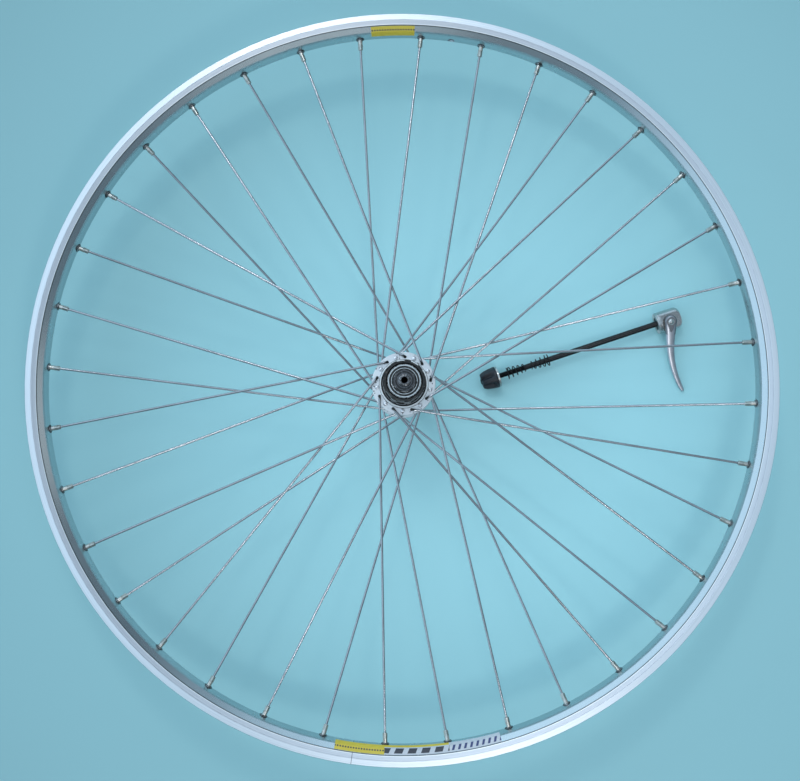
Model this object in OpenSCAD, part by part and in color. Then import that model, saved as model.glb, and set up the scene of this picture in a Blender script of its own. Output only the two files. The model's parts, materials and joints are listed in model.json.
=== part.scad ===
// Bicycle rear wheel with a freehub, lying flat, and the quick-release skewer taken out of it.
// +Z runs along the axle towards the drive side. The origin is the middle of the axle, in the
// rim's mid-plane. The non-drive end of the axle and the skewer rest on one level surface.

/* [Rim] */
// Outer diameter over the rim's flanges
rim_od = 634; // [632:0.5:636]
// Width across the two brake tracks
rim_w = 19.6; // [19:0.1:20.5]
// Half the gap between the two bead hooks
rim_hook_z = 7.5; // [7.3:0.1:7.7]
// Width of each brake track, measured along the radius
rim_track_w = 9.7; // [9:0.1:10.2]
// Distance from the rim's outside to its inner crown
rim_depth = 17.8; // [17.6:0.1:18]
// Angle of the valve hole
valve_a = 82.1; // [80:0.1:84]
// Diameter of the valve hole
valve_d = 6.5; // [6:0.1:8.4]

/* [Spokes] */
// Number of spokes
spoke_n = 36; // [36]
// Diameter of the spoke wire
spoke_d = 2; // [1.8:0.05:2]
// Angle of the first nipple
nipple_a = 7.1; // [5:0.1:9]
// Angle between a spoke's hole in the flange and its hole in the rim
spoke_lead = 60; // [60]
// Diameter of the flange holes' circle
hole_pcd = 45; // [44.5:0.1:45.5]
// Diameter of the flange holes
hole_d = 2.6; // [2.6:0.05:2.8]
// Length of a nipple
nipple_l = 13.65; // [12:0.05:14]
// Across the nipple's four flats
nipple_af = 3.3; // [3.2:0.05:3.4]

/* [Hub] */
// Distance over the two locknuts
old = 130; // [130]
// Length of the axle
axle_l = 141; // [138:0.5:142]
// Outer diameter of the axle
axle_d = 10; // [9.9:0.05:10]
// Bore of the axle
axle_bore = 5.2; // [5.1:0.05:5.6]
// Diameter of both flanges
flange_d = 53; // [52:0.5:54]
// Thickness of both flanges
flange_t = 3.2; // [3:0.1:3.3]
// Middle of the drive-side flange
flange_drive_z = 20; // [19.9:0.1:20.1]
// Middle of the other flange, on the non-drive side
flange_other_z = 37; // [36.9:0.1:37.1]
// Diameter of the shell's barrel between the flanges
barrel_d = 24; // [23:0.5:26]
// Diameter of the two big ball sets' balls
ball_d = 6.35; // [6.3:0.01:6.35]
// Radius of the circle that the big balls run on
ball_ring_r = 9.6; // [9.6]
// Number of big balls on each side
ball_n = 9; // [6:1:9]

/* [Freehub] */
// Diameter over the cassette splines
spline_d = 34.5; // [34.3:0.1:34.7]
// Diameter in the grooves between them
groove_d = 32.6; // [32.4:0.1:33]
// Number of splines
spline_n = 9; // [9]
// Ratchet teeth inside the freehub body
ratchet_n = 24; // [24]
// Diameter of the small balls
small_ball_d = 3.175; // [3.1:0.005:3.175]
// Number of small balls in each of the two rings
small_ball_n = 25; // [15:1:25]

/* [Skewer] */
// Where the adjusting nut's face stands on the rod, across and up the flat
skewer_at = [86.1, 11.8];
// Direction of the rod
skewer_a = 18.4; // [17:0.1:20]
// Roll of the skewer about its rod, which lets the lever's tip come down
skewer_roll = 14.4; // [14:0.1:14.6]
// Diameter of the rod
rod_d = 5; // [4.9:0.05:5]
// From the nut's face to the housing's face
grip_l = 149.3; // [146:0.1:152]
// Diameter of the cam housing
housing_d = 19.1; // [19:0.1:19.1]
// Length of the cam housing
housing_l = 22; // [21.5:0.1:22.5]
// Length of the adjusting nut
nut_l = 15.2; // [14.8:0.1:15.4]
// Grips round the adjusting nut
nut_grips = 6; // [5:1:8]
// Wire of the two volute springs
spring_wire_d = 1; // [0.9:0.05:1]
// Turns of each spring
spring_turns = 4.5; // [4:0.5:5]

/* [Hidden] */
$fn = 64;

// A small gap that stands for a screwed or pressed fit inside one assembly
fit = 0.02;
// Play round each ball
ball_play = 0.06;
// A little more than nothing, for cuts that run past a face
over = 1;

// ---- rim ----
rim_r = rim_od / 2;
rim_z = rim_w / 2;
crown_r = rim_r - rim_depth;
crown_arc = 9.93;
crown_steps = 5;
track_in_r = rim_r - rim_track_w;
track_line_r = rim_r - 5.4;
shoulder_r = rim_r - 14.6;
shoulder_z = 7.3;
well_r = rim_r - 8.4;
bead_r = rim_r - 6;
access_hole_r = 3.6;
spoke_bed_hole_r = 2.92;
eyelet_r = 2.88;
eyelet_bore_r = 2.45;

// ---- spokes ----
wire_r = spoke_d / 2;
hole_r = hole_pcd / 2;
nipple_r = 300.2;
nipple_bore_r = 1.06;
elbow_r = 1.9;
elbow_shift = 0.15;
rise_out_drive = 1.85;
rise_out_other = 2.25;
rise_in = 1.15;
lace = 1.1;
lace_soft = 3;
head_h = 1.2;
head_r = 1.9;
spoke_end = 2;
spoke_sides = 8;
// Step between two spokes of one family, and between the two families of one flange
family_step = 40;
pair_step = 20;
side_step = 10;
outer_drive_z = flange_drive_z + flange_t / 2;
inner_drive_z = flange_drive_z - flange_t / 2;
outer_other_z = flange_other_z + flange_t / 2;
inner_other_z = flange_other_z - flange_t / 2;

// ---- hub ----
axle_r = axle_d / 2;
nut_bore_r = axle_r + fit;
old_z = old / 2;
locknut_t = 4;
locknut_af = 17;
cone_r = 9;
cone_nose_r = 6.3;
cone_af = 15;
race_r = ball_d / 2 + ball_play;
drive_ball_z = 51.5;
other_ball_z = 41.6;
cup_mouth_r = 12.85;
cup_bore_r = 7.6;
drive_cup_r = 14.1;
other_cup_r = 13.8;
shell_end_z = 45;
shell_recess_z = 22.4;
spigot_r = 11;
shell_bore_r = 9;
bolt_r = 8;
// ---- freehub ----
core_r = 12.6;
core_end_z = 46;
body_z0 = 23.2;
body_z1 = 59.5;
body_bore_r = 14.6;
lockring_bore_r = 14.76;
ratchet_tip_r = 13.4;
ratchet_root_r = 14.5;
ratchet_z0 = 29.5;
ratchet_z1 = 37.5;
small_ring_r = 13.6;
small_race_r = small_ball_d / 2 + ball_play;
small_ball_zs = [26.3, 41.7];
pawl_pivot_r = 11.2;
pawl_pin_r = 1.2;
pawl_angles = [90, 270];
pawl_swing = 14;
pawl_tip = [0.6, 5];
pawl_z0 = 30;
pawl_z1 = 37;
spring_groove_z = 33.5;
// Room between a pawl that has swung out and the tooth that it catches, in degrees
tooth_lead = 3.2;
// Where the pawl's tip points once it has swung out, and from it the ratchet's phase
pawl_tip_out = [pawl_pivot_r + pawl_tip.x * cos(pawl_swing) + pawl_tip.y * sin(pawl_swing),
                pawl_tip.y * cos(pawl_swing) - pawl_tip.x * sin(pawl_swing)];
ratchet_phase = pawl_angles[0] + atan2(pawl_tip_out.y, pawl_tip_out.x) + tooth_lead;

// ---- skewer, in its own frame: x along the rod from the nut's face, z out through the lever ----
rest_z = -axle_l / 2 + housing_d / 2;
rod_r = rod_d / 2;
rod_end_x = -11;
housing_r = housing_d / 2;
housing_x1 = grip_l + housing_l;
pivot_x = grip_l + 11;
flat_z = 6.5;
lever_z0 = 6.6;
lever_t = 5;
rod_head_r = 5.2;
cam_r = 3;
cam_lobe_r = 2.2;
cam_throw = 0.7;
cam_stub_r = 2.85;
lever_angle = -106.5;
lever_straight = 17;
lever_arc_r = 93.3;
lever_arc_a = 29.4;

function on_circle(r, a) = [r * cos(a), r * sin(a), 0];
function mirrored(points) = [for (p = points) [p.x, -p.y]];
function closed_section(half) =
    concat(half, mirrored([for (i = [len(half) - 1:-1:0]) half[i]]));

// Mesh of a bar swept through rings; a ring is [centre, heading, up, radius]
function ring_points(ring, sides) =
    let (side = cross(ring[2], ring[1]))
    [for (k = [0:sides - 1])
        ring[0] + ring[3] * (cos(360 * k / sides) * side + sin(360 * k / sides) * ring[2])];

module swept_bar(rings, sides) {
    last = len(rings) - 1;
    points = [for (ring = rings) each ring_points(ring, sides)];
    walls = [for (i = [0:last - 1]) for (k = [0:sides - 1])
        let (a = i * sides + k, b = i * sides + (k + 1) % sides)
        each [[a, a + sides, b + sides], [a, b + sides, b]]];
    caps = [[for (k = [0:sides - 1]) k], [for (k = [sides - 1:-1:0]) last * sides + k]];
    polyhedron(points = points, faces = concat(walls, caps));
}

module ring_of(count, first = 0) {
    for (i = [0:count - 1]) rotate([0, 0, first + 360 * i / count]) children();
}

module revolve(points) {
    rotate_extrude($fn = 128) polygon(points);
}

// ------------------------------------------------------------------ rim

// Half of the rounded crown, from its middle out to the shoulder
function crown_half() =
    let (reach = asin(shoulder_z / crown_arc))
    [for (k = [0:crown_steps]) let (b = (k + 0.5) / (crown_steps + 0.5) * reach)
        [crown_r + crown_arc * (1 - cos(b)), crown_arc * sin(b)]];

module rim_section() {
    difference() {
        polygon(closed_section(concat(crown_half(), [
            [track_in_r - 0.3, rim_z - 0.45], [track_in_r, rim_z],
            [track_line_r - 0.3, rim_z], [track_line_r, rim_z - 0.3],
            [track_line_r + 0.3, rim_z], [rim_r - 0.5, rim_z], [rim_r, rim_z - 0.7]])));
        // The tyre's channel, with a hook on each wall and a well in the middle
        polygon(closed_section([
            [rim_r + over, rim_hook_z], [rim_r - 1.4, rim_hook_z], [rim_r - 2, rim_hook_z + 0.6],
            [rim_r - 4.8, rim_hook_z + 0.6], [bead_r, rim_hook_z + 0.1], [bead_r, 5.8],
            [well_r + 0.3, 4.6], [well_r, 3.9]]));
        // The hollow between the two bridges
        polygon(closed_section([
            [well_r - 1.3, 4.2], [well_r - 0.3, 6.6], [well_r - 1.4, 8.2],
            [shoulder_r + 0.8, 6.4], [crown_r + 2.4, 5], [crown_r + 1.5, 2.5]]));
    }
}

module radial_hole(a, r, from, to) {
    rotate([0, 0, a]) translate([from, 0, 0]) rotate([0, 90, 0]) cylinder(r = r, h = to - from);
}

module rim() {
    color([0.78, 0.79, 0.81])
    difference() {
        rotate_extrude($fn = 256) rim_section();
        for (i = [0:spoke_n - 1]) {
            a = nipple_a + i * 360 / spoke_n;
            radial_hole(a, spoke_bed_hole_r, crown_r - 2, crown_r + 4);
            radial_hole(a, access_hole_r, well_r - 3, well_r + 3);
        }
        radial_hole(valve_a, valve_d / 2, crown_r - 2, well_r + 3);
    }
}

// Point on the drive-side shoulder, raised by lift: k steps up the crown, then out to the track
function shoulder_point(k, lift) =
    let (reach = asin(shoulder_z / crown_arc), b = (k + 0.5) / (crown_steps + 0.5) * reach,
         r = crown_arc + lift)
    [crown_r + crown_arc - r * cos(b), r * sin(b)];
function shoulder_end(lift) =
    let (foot = [shoulder_r, shoulder_z], run = [track_in_r - 0.3, rim_z - 0.45] - foot,
         out = [-run.y, run.x] / norm(run))
    foot + run * 0.88 + out * lift;

// Thin self-adhesive label on the shoulder, clear of the eyelets
module rim_label(from, to) {
    label_t = 0.12;
    first_step = 2;
    low = [for (k = [first_step:crown_steps]) shoulder_point(k, fit)];
    high = [for (k = [crown_steps:-1:first_step]) shoulder_point(k, fit + label_t)];
    rotate([0, 0, from]) rotate_extrude(angle = to - from, $fn = 256)
        polygon(concat(low, [shoulder_end(fit), shoulder_end(fit + label_t)], high));
}

module rim_label_short() {
    color([0.85, 0.75, 0.2]) rim_label(88.2, 95.2);
}

module rim_label_long() {
    color([0.85, 0.75, 0.2]) rim_label(259.2, 285.4);
}

// Plug inside the hollow rim, under the seam opposite the valve
module rim_joint_sleeve() {
    span = 6;
    sleeve_h = 4.4;
    sleeve_w = 9;
    color([0.6, 0.6, 0.62])
    rotate([0, 0, valve_a + 180 - span / 2])
        rotate_extrude(angle = span, $fn = 256)
            translate([crown_r + 5.3, 0]) square([sleeve_h, sleeve_w], center = true);
}

module eyelets() {
    flange_r = 3.5;
    color([0.62, 0.62, 0.64])
    ring_of(spoke_n, nipple_a) rotate([0, 90, 0]) revolve([
        [eyelet_bore_r, crown_r - 0.48], [flange_r - 0.3, crown_r - 0.48],
        [flange_r, crown_r - 0.28], [flange_r, crown_r - 0.1], [eyelet_r, crown_r - 0.1],
        [eyelet_r, crown_r + 1.85], [flange_r - 0.2, crown_r + 1.85],
        [flange_r - 0.2, crown_r + 2.1], [eyelet_bore_r, crown_r + 2.1]]);
}

// ------------------------------------------------------------------ spokes and nipples
// q is 1 for a spoke whose elbow is outside its flange and -1 for one whose elbow is inside.
// side is 1 on the drive side and -1 on the other; heights below are distances from the rim plane.

function outer_z(side) = side > 0 ? outer_drive_z : outer_other_z;
function inner_z(side) = side > 0 ? inner_drive_z : inner_other_z;
function elbow_z(side, q) = q < 0 ? inner_z(side) - rise_in
    : outer_z(side) + (side > 0 ? rise_out_drive : rise_out_other);
function rim_angle(a, q) = a + q * spoke_lead;
function spoke_from(a) = on_circle(hole_r, a);
function spoke_to(a, q) = on_circle(nipple_r, rim_angle(a, q));
function spoke_span(a, q) = norm(spoke_to(a, q) - spoke_from(a));
function along(a, q) = (spoke_to(a, q) - spoke_from(a)) / spoke_span(a, q);
function foot_r(a, q) = norm(cross(spoke_from(a), along(a, q)));
// Distance from the flange hole to the outermost crossing
function lace_s(a, q) =
    let (p = foot_r(a, q), lace_r = p / cos(acos(p / hole_r) + spoke_lead - side_step))
    sqrt(lace_r ^ 2 - p ^ 2) - sqrt(hole_r ^ 2 - p ^ 2);
function lace_z(side, a, q) =
    (elbow_z(side, 1) + elbow_z(side, -1)) / 2 * (1 - lace_s(a, q) / spoke_span(a, q)) - q * lace;

// One ring of the spoke, at s along it and z out from the rim plane, heading up by the angle tilt
function spoke_ring(side, a, q, s, z, tilt, r) =
    let (u = along(a, q), out = [0, 0, side])
    [spoke_from(a) + u * s + out * z, u * cos(tilt) + out * sin(tilt),
     out * cos(tilt) - u * sin(tilt), r];

function spoke_rings(side, a, q) =
    let (
        top = elbow_z(side, q),
        bend_z = top - q * elbow_r,
        seat = q > 0 ? inner_z(side) : outer_z(side),
        shift = q > 0 ? 0 : -elbow_shift,
        cs = lace_s(a, q),
        cz = lace_z(side, a, q),
        span = spoke_span(a, q),
        first_tilt = atan2(cz - top, cs - elbow_r),
        second_tilt = atan2(-cz, span - cs),
        turn = 90 - q * first_tilt,
        head = [for (h = [[head_h, 1.35], [head_h - 0.45, head_r], [fit, head_r], [fit / 2, wire_r]])
            spoke_ring(side, a, q, shift, seat - q * h[0], 90 * q, h[1])],
        elbow = [for (k = [0:4]) let (b = turn * k / 4)
            spoke_ring(side, a, q, shift + elbow_r * (1 - cos(b)), bend_z + q * elbow_r * sin(b),
                       q * (90 - b), wire_r)],
        laced = [
            spoke_ring(side, a, q, cs - lace_soft, cz - lace_soft * tan(first_tilt),
                       first_tilt, wire_r),
            spoke_ring(side, a, q, cs + lace_soft, cz + lace_soft * tan(second_tilt),
                       second_tilt, wire_r)],
        tail = [spoke_ring(side, a, q, span + spoke_end * cos(second_tilt),
                           spoke_end * sin(second_tilt), second_tilt, wire_r)]
    )
    concat(head, elbow, laced, tail);

module spoke_family(side, first, q) {
    color([0.74, 0.74, 0.75])
    for (i = [0:spoke_n / 4 - 1]) swept_bar(spoke_rings(side, first + i * family_step, q), spoke_sides);
}

drive_out_a = nipple_a;
drive_in_a = nipple_a + pair_step;
other_out_a = nipple_a + side_step;
other_in_a = nipple_a + side_step + pair_step;

module spokes_drive_elbow_out() { spoke_family(1, drive_out_a, 1); }
module spokes_drive_elbow_in() { spoke_family(1, drive_in_a, -1); }
module spokes_nondrive_elbow_out() { spoke_family(-1, other_out_a, 1); }
module spokes_nondrive_elbow_in() { spoke_family(-1, other_in_a, -1); }

// A nipple about its own axis, with z = 0 where that axis crosses the rim plane
module nipple() {
    tip = 3.75 - nipple_l;
    flats_l = 5;
    head = 2.95;
    slot_w = 0.9;
    difference() {
        rotate_extrude($fn = 32) polygon([
            [nipple_bore_r, tip], [1.75, tip], [2, tip + 0.4], [2, 1.6], [head, 2.4],
            [head, 3.3], [2.5, 3.75], [nipple_bore_r, 3.75]]);
        for (k = [0:3]) rotate([0, 0, 45 + 90 * k])
            translate([nipple_af / 2, -2.5, tip - over]) cube([2, 5, flats_l + over]);
        translate([-slot_w / 2, -4, 2.95]) cube([slot_w, 8, 2]);
    }
}

module nipple_family(side, first, q) {
    for (i = [0:spoke_n / 4 - 1]) {
        a = first + i * family_step;
        cs = lace_s(a, q);
        tilt = atan2(-lace_z(side, a, q), spoke_span(a, q) - cs);
        u = along(a, q);
        translate(spoke_to(a, q)) rotate([0, 90 - side * tilt, atan2(u.y, u.x)]) nipple();
    }
}

module nipples_drive() {
    color([0.7, 0.68, 0.62]) {
        nipple_family(1, drive_out_a, 1);
        nipple_family(1, drive_in_a, -1);
    }
}

module nipples_nondrive() {
    color([0.7, 0.68, 0.62]) {
        nipple_family(-1, other_out_a, 1);
        nipple_family(-1, other_in_a, -1);
    }
}

// ------------------------------------------------------------------ axle and its nuts

module axle() {
    end = axle_l / 2;
    // Undercut behind each locknut's outer face
    cut_r = axle_r - 0.5;
    cut_z = old_z - 0.9;
    color([0.5, 0.5, 0.52])
    revolve([
        [axle_bore / 2, -end], [axle_r - 0.5, -end], [axle_r, -end + 0.5],
        [axle_r, -old_z], [cut_r, -old_z], [cut_r, -cut_z], [axle_r, -cut_z],
        [axle_r, cut_z], [cut_r, cut_z], [cut_r, old_z], [axle_r, old_z],
        [axle_r, end - 0.5], [axle_r - 0.5, end], [axle_bore / 2, end]]);
}

// Cone with its big end outwards; z0 is its nose and z1 its outer end, both distances from the
// rim plane, and the wrench flats are flat_l long. It is drawn for the drive side.
module bearing_cone(ball_z, z1, flat_l) {
    nose_z = ball_z - 1.3;
    difference() {
        rotate_extrude($fn = 128) difference() {
            polygon([
                [nut_bore_r, nose_z], [cone_nose_r, nose_z], [cone_nose_r, ball_z],
                [cone_r, ball_z + 3.1], [cone_r, z1], [nut_bore_r, z1]]);
            translate([ball_ring_r, ball_z]) circle(race_r, $fn = 64);
        }
        for (k = [-1, 1])
            translate([k * (cone_af / 2 + 5), 0, z1 - flat_l / 2 + over / 2])
                cube([10, 30, flat_l + over], center = true);
    }
}

// Cup open outwards; z0 is its inner end and z1 its mouth
module bearing_cup_section(ball_z, z0, z1, r) {
    difference() {
        polygon([
            [cup_bore_r, z0], [r, z0], [r, z1 - 0.4], [r - 0.4, z1], [cup_mouth_r, z1],
            [cup_mouth_r, ball_z], [cup_bore_r, ball_z]]);
        translate([ball_ring_r, ball_z]) circle(race_r, $fn = 64);
    }
}

module lock_washer(z0, z1) {
    revolve([[nut_bore_r, z0], [8.5, z0], [8.5, z1], [nut_bore_r, z1]]);
}

// Hexagon nut with chamfered corners, drawn for the drive side
module locknut() {
    corner_r = locknut_af / sqrt(3);
    face_r = 8.6;
    difference() {
        intersection() {
            translate([0, 0, old_z - locknut_t])
                cylinder(r = corner_r, h = locknut_t, $fn = 6);
            revolve([
                [0, old_z - locknut_t], [corner_r, old_z - locknut_t],
                [corner_r, old_z - 0.8], [face_r, old_z], [0, old_z]]);
        }
        translate([0, 0, old_z - locknut_t - over]) cylinder(r = nut_bore_r, h = locknut_t + 2 * over);
    }
}

module cone_seal(z0, z1) {
    revolve([[cone_r + fit, z0], [9.7, z0], [9.7, z1 - 0.3], [9.4, z1], [cone_r + fit, z1]]);
}

module drive_cone() {
    color([0.55, 0.55, 0.57]) bearing_cone(drive_ball_z, 60.4, 2.2);
}

module drive_lock_washer() {
    color([0.5, 0.5, 0.5]) lock_washer(60.4, old_z - locknut_t);
}

module drive_locknut() {
    color([0.35, 0.35, 0.37]) locknut();
}

module drive_seal() {
    color([0.12, 0.12, 0.12]) cone_seal(56.9, 58.1);
}

module nondrive_cone() {
    color([0.55, 0.55, 0.57]) mirror([0, 0, 1]) bearing_cone(other_ball_z, 54, 5.5);
}

module nondrive_spacer() {
    color([0.5, 0.5, 0.52])
    mirror([0, 0, 1]) revolve([[nut_bore_r, 54], [7.5, 54], [7.5, 59.4], [nut_bore_r, 59.4]]);
}

module nondrive_lock_washer() {
    color([0.5, 0.5, 0.5]) mirror([0, 0, 1]) lock_washer(59.4, old_z - locknut_t);
}

module nondrive_locknut() {
    color([0.35, 0.35, 0.37]) mirror([0, 0, 1]) locknut();
}

module nondrive_seal() {
    color([0.12, 0.12, 0.12]) mirror([0, 0, 1]) cone_seal(45.2, 46.4);
}

// ------------------------------------------------------------------ hub shell and bearings

module hub_shell() {
    fr = flange_d / 2;
    bevel = 0.5;
    barrel_r = barrel_d / 2;
    color([0.86, 0.86, 0.88])
    difference() {
        revolve([
            // bore, from the non-drive cup up to the recess under the freehub
            [other_cup_r + fit, -shell_end_z], [other_cup_r + fit, -37.4], [shell_bore_r, -37.4],
            [shell_bore_r, 2], [bolt_r, 2], [bolt_r, 12], [spigot_r, 12],
            [spigot_r, shell_recess_z], [18.7, shell_recess_z],
            // lip round the recess
            [18.7, 24.3], [19, 24.6], [19.8, 24.6], [20.1, 24.2], [20.1, outer_drive_z],
            // drive flange
            [fr - bevel, outer_drive_z], [fr, outer_drive_z - bevel], [fr, inner_drive_z + bevel],
            [fr - bevel, inner_drive_z], [18.4, inner_drive_z],
            // barrel
            [15.4, 15.2], [13, 11], [barrel_r, 7], [barrel_r, -26], [13.4, -30], [15.6, -33],
            [18.4, -inner_other_z],
            // non-drive flange
            [fr - bevel, -inner_other_z], [fr, -inner_other_z - bevel],
            [fr, -outer_other_z + bevel], [fr - bevel, -outer_other_z], [19, -outer_other_z],
            [18, -44.2], [17.2, -shell_end_z]]);
        for (i = [0:spoke_n / 2 - 1]) {
            rotate([0, 0, nipple_a + i * pair_step]) translate([hole_r, 0, inner_drive_z - over])
                cylinder(r = hole_d / 2, h = flange_t + 2 * over);
            rotate([0, 0, nipple_a + side_step + i * pair_step])
                translate([hole_r, 0, -outer_other_z - over])
                cylinder(r = hole_d / 2, h = flange_t + 2 * over);
        }
    }
}

module nondrive_cup() {
    color([0.55, 0.55, 0.57])
    mirror([0, 0, 1]) rotate_extrude($fn = 128)
        bearing_cup_section(other_ball_z, 37.42, shell_end_z - 0.1, other_cup_r);
}

module nondrive_dust_cap() {
    color([0.8, 0.8, 0.82])
    mirror([0, 0, 1]) revolve([
        [10, 45.1], [12, 45.1], [12, 44.1], [12.8, 44.1], [12.8, 45.1], [16.2, 45.1],
        [16.6, 45.5], [16.2, 45.9], [10, 45.9]]);
}

module ball_ring(count, ring_r, d, z) {
    ring_of(count) translate([ring_r, 0, z]) sphere(d = d);
}

module drive_balls() {
    color([0.85, 0.85, 0.86]) ball_ring(ball_n, ball_ring_r, ball_d, drive_ball_z);
}

module nondrive_balls() {
    color([0.85, 0.85, 0.86]) ball_ring(ball_n, ball_ring_r, ball_d, -other_ball_z);
}

// ------------------------------------------------------------------ freehub

module at_pawl(k) {
    rotate([0, 0, pawl_angles[k]]) translate([pawl_pivot_r, 0, 0]) children();
}

// Fixed inner body: it plugs into the shell and carries the pawls and both rings of small balls
module freehub_core() {
    pocket_floor = -1.25;
    color([0.4, 0.4, 0.42])
    difference() {
        rotate_extrude($fn = 128) difference() {
            polygon([
                [8.1, 12.3], [spigot_r - fit, 12.3], [spigot_r - fit, shell_recess_z],
                [core_r, shell_recess_z + fit], [core_r, core_end_z - fit],
                [10.42, core_end_z - fit], [10.42, 41], [9.2, 41], [9.2, 24], [8.1, 24]]);
            for (z = small_ball_zs)
                translate([small_ring_r, z]) circle(small_race_r, $fn = 64);
            translate([11.5, spring_groove_z - 0.5]) square([2, 1]);
        }
        for (k = [0, 1]) at_pawl(k)
            translate([0, 0, pawl_z0 - 0.3]) linear_extrude(pawl_z1 - pawl_z0 + 0.6)
                polygon([[pocket_floor, -1.35], [pocket_floor, 5.5], [3, 6.3], [3, -1.35]]);
    }
}

module freehub_fixing_bolt() {
    hex_af = 12;
    color([0.5, 0.5, 0.52])
    difference() {
        revolve([
            [6.2, 3], [bolt_r - fit - 0.4, 3], [bolt_r - fit, 3.4], [bolt_r - fit, 24 + fit],
            [9.1, 24 + fit], [9.1, 28.6], [8.7, 29], [6.2, 29]]);
        translate([0, 0, 22]) cylinder(r = hex_af / sqrt(3), h = 8, $fn = 6);
    }
}

module drive_cup() {
    cup_z1 = 57;
    spigot = 10.4;
    color([0.55, 0.55, 0.57])
    rotate_extrude($fn = 128) {
        bearing_cup_section(drive_ball_z, core_end_z, cup_z1, drive_cup_r);
        translate([cup_bore_r, 41 + fit]) square([spigot - cup_bore_r, core_end_z - 41]);
    }
}

module drive_dust_cap() {
    color([0.85, 0.85, 0.86])
    revolve([
        [10, 57.05], [12, 57.05], [12, 55.3], [12.8, 55.3], [12.8, 57.05], [13.1, 57.05],
        [13.3, 57.3], [13.1, 57.8], [12.4, 57.8], [12.1, 57.5], [10.2, 57.5], [10, 57.35]]);
}

module freehub_seal() {
    color([0.1, 0.1, 0.1])
    revolve([[17.6, shell_recess_z + 0.05], [18.65, shell_recess_z + 0.05], [18.65, 23.4],
             [18.3, 23.6], [17.6, 23.3]]);
}

// The splines' section; one crest is wider so that a cassette goes on one way only
module spline_section() {
    root = groove_d / 2 - 2;
    past = spline_d / 2 + 6;
    circle(d = groove_d, $fn = 128);
    for (i = [0:spline_n - 1]) rotate(360 * i / spline_n) {
        half = i == 0 ? 13 : 9;
        intersection() {
            circle(d = spline_d, $fn = 128);
            polygon([root * [cos(half), -sin(half)], past * [cos(half), -sin(half)],
                     past * [cos(half), sin(half)], root * [cos(half), sin(half)]]);
        }
    }
}

module ratchet_outline() {
    step = 360 / ratchet_n;
    polygon([for (i = [0:ratchet_n - 1]) let (a = ratchet_phase + i * step)
        each [ratchet_tip_r * [cos(a - step + 0.1), sin(a - step + 0.1)],
              ratchet_root_r * [cos(a - 0.6), sin(a - 0.6)]]]);
}

module freehub_body() {
    base_h = 2.8;
    lead = 1;
    color([0.16, 0.15, 0.14])
    difference() {
        union() {
            translate([0, 0, body_z0]) cylinder(d = spline_d + fit, h = base_h, $fn = 128);
            translate([0, 0, body_z0 + base_h]) linear_extrude(body_z1 - lead - body_z0 - base_h)
                spline_section();
            translate([0, 0, body_z1 - lead]) cylinder(d = groove_d - fit, h = lead, $fn = 128);
        }
        revolve([
            [0, body_z0 - over], [body_bore_r, body_z0 - over], [body_bore_r, ratchet_z0],
            [ratchet_tip_r - fit, ratchet_z0], [ratchet_tip_r - fit, ratchet_z1],
            [body_bore_r, ratchet_z1], [body_bore_r, 50], [lockring_bore_r, 50],
            [lockring_bore_r, body_z1 + over], [0, body_z1 + over]]);
        for (z = small_ball_zs) rotate_extrude($fn = 128)
            translate([small_ring_r, z]) circle(small_race_r, $fn = 64);
        translate([0, 0, ratchet_z0 - 0.5]) linear_extrude(ratchet_z1 - ratchet_z0 + 1)
            ratchet_outline();
    }
}

module freehub_balls_inboard() {
    color([0.85, 0.85, 0.86])
    ball_ring(small_ball_n, small_ring_r, small_ball_d, small_ball_zs[0]);
}

module freehub_balls_outboard() {
    color([0.85, 0.85, 0.86])
    ball_ring(small_ball_n, small_ring_r, small_ball_d, small_ball_zs[1]);
}

// A pawl as it is while coasting: pushed in, with its tip just under the ratchet's teeth
module pawl(k) {
    slot_r = 11.4;
    color([0.55, 0.53, 0.5])
    at_pawl(k) difference() {
        translate([0, 0, pawl_z0]) union() {
            cylinder(r = pawl_pin_r, h = pawl_z1 - pawl_z0);
            linear_extrude(pawl_z1 - pawl_z0)
                polygon([[-0.9, -0.2], [-0.75, 4.8], pawl_tip, [1.1, 0.1]]);
        }
        translate([slot_r - pawl_pivot_r, -3, spring_groove_z - 0.5]) cube([3, 10, 1]);
    }
}

module pawl_a() { pawl(0); }
module pawl_b() { pawl(1); }

// One wire bow for each pawl, which lies in the core's groove and pushes the pawl out
module pawl_springs() {
    bow_r = 11.95;
    bow_from = 33;
    bow_span = 146;
    color([0.7, 0.7, 0.72])
    for (a = pawl_angles) rotate([0, 0, a + bow_from])
        rotate_extrude(angle = bow_span, $fn = 128)
            translate([bow_r, spring_groove_z]) circle(0.35, $fn = 24);
}

// ------------------------------------------------------------------ skewer

module on_skewer() {
    translate([skewer_at.x, skewer_at.y, rest_z]) rotate([0, 0, skewer_a])
        rotate([skewer_roll, 0, 0]) children();
}

// Turned about the rod: points are [radius, x]
module turned(points) {
    rotate([0, 90, 0]) rotate_extrude($fn = 96) polygon(points);
}

module skewer_rod() {
    head_x0 = grip_l + 3.3;
    head_x1 = grip_l + 17.2;
    eye_w = 6.2;
    color([0.05, 0.05, 0.05])
    on_skewer() difference() {
        turned([
            [0, rod_end_x], [rod_r - 0.4, rod_end_x], [rod_r, rod_end_x + 0.4], [rod_r, head_x0],
            [rod_head_r, head_x0], [rod_head_r, head_x1], [0, head_x1]]);
        // The eye that the cam works in
        translate([pivot_x - 4.4, -eye_w / 2, -rod_head_r - over])
            cube([7.8, eye_w, 2 * (rod_head_r + over)]);
    }
}

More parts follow.
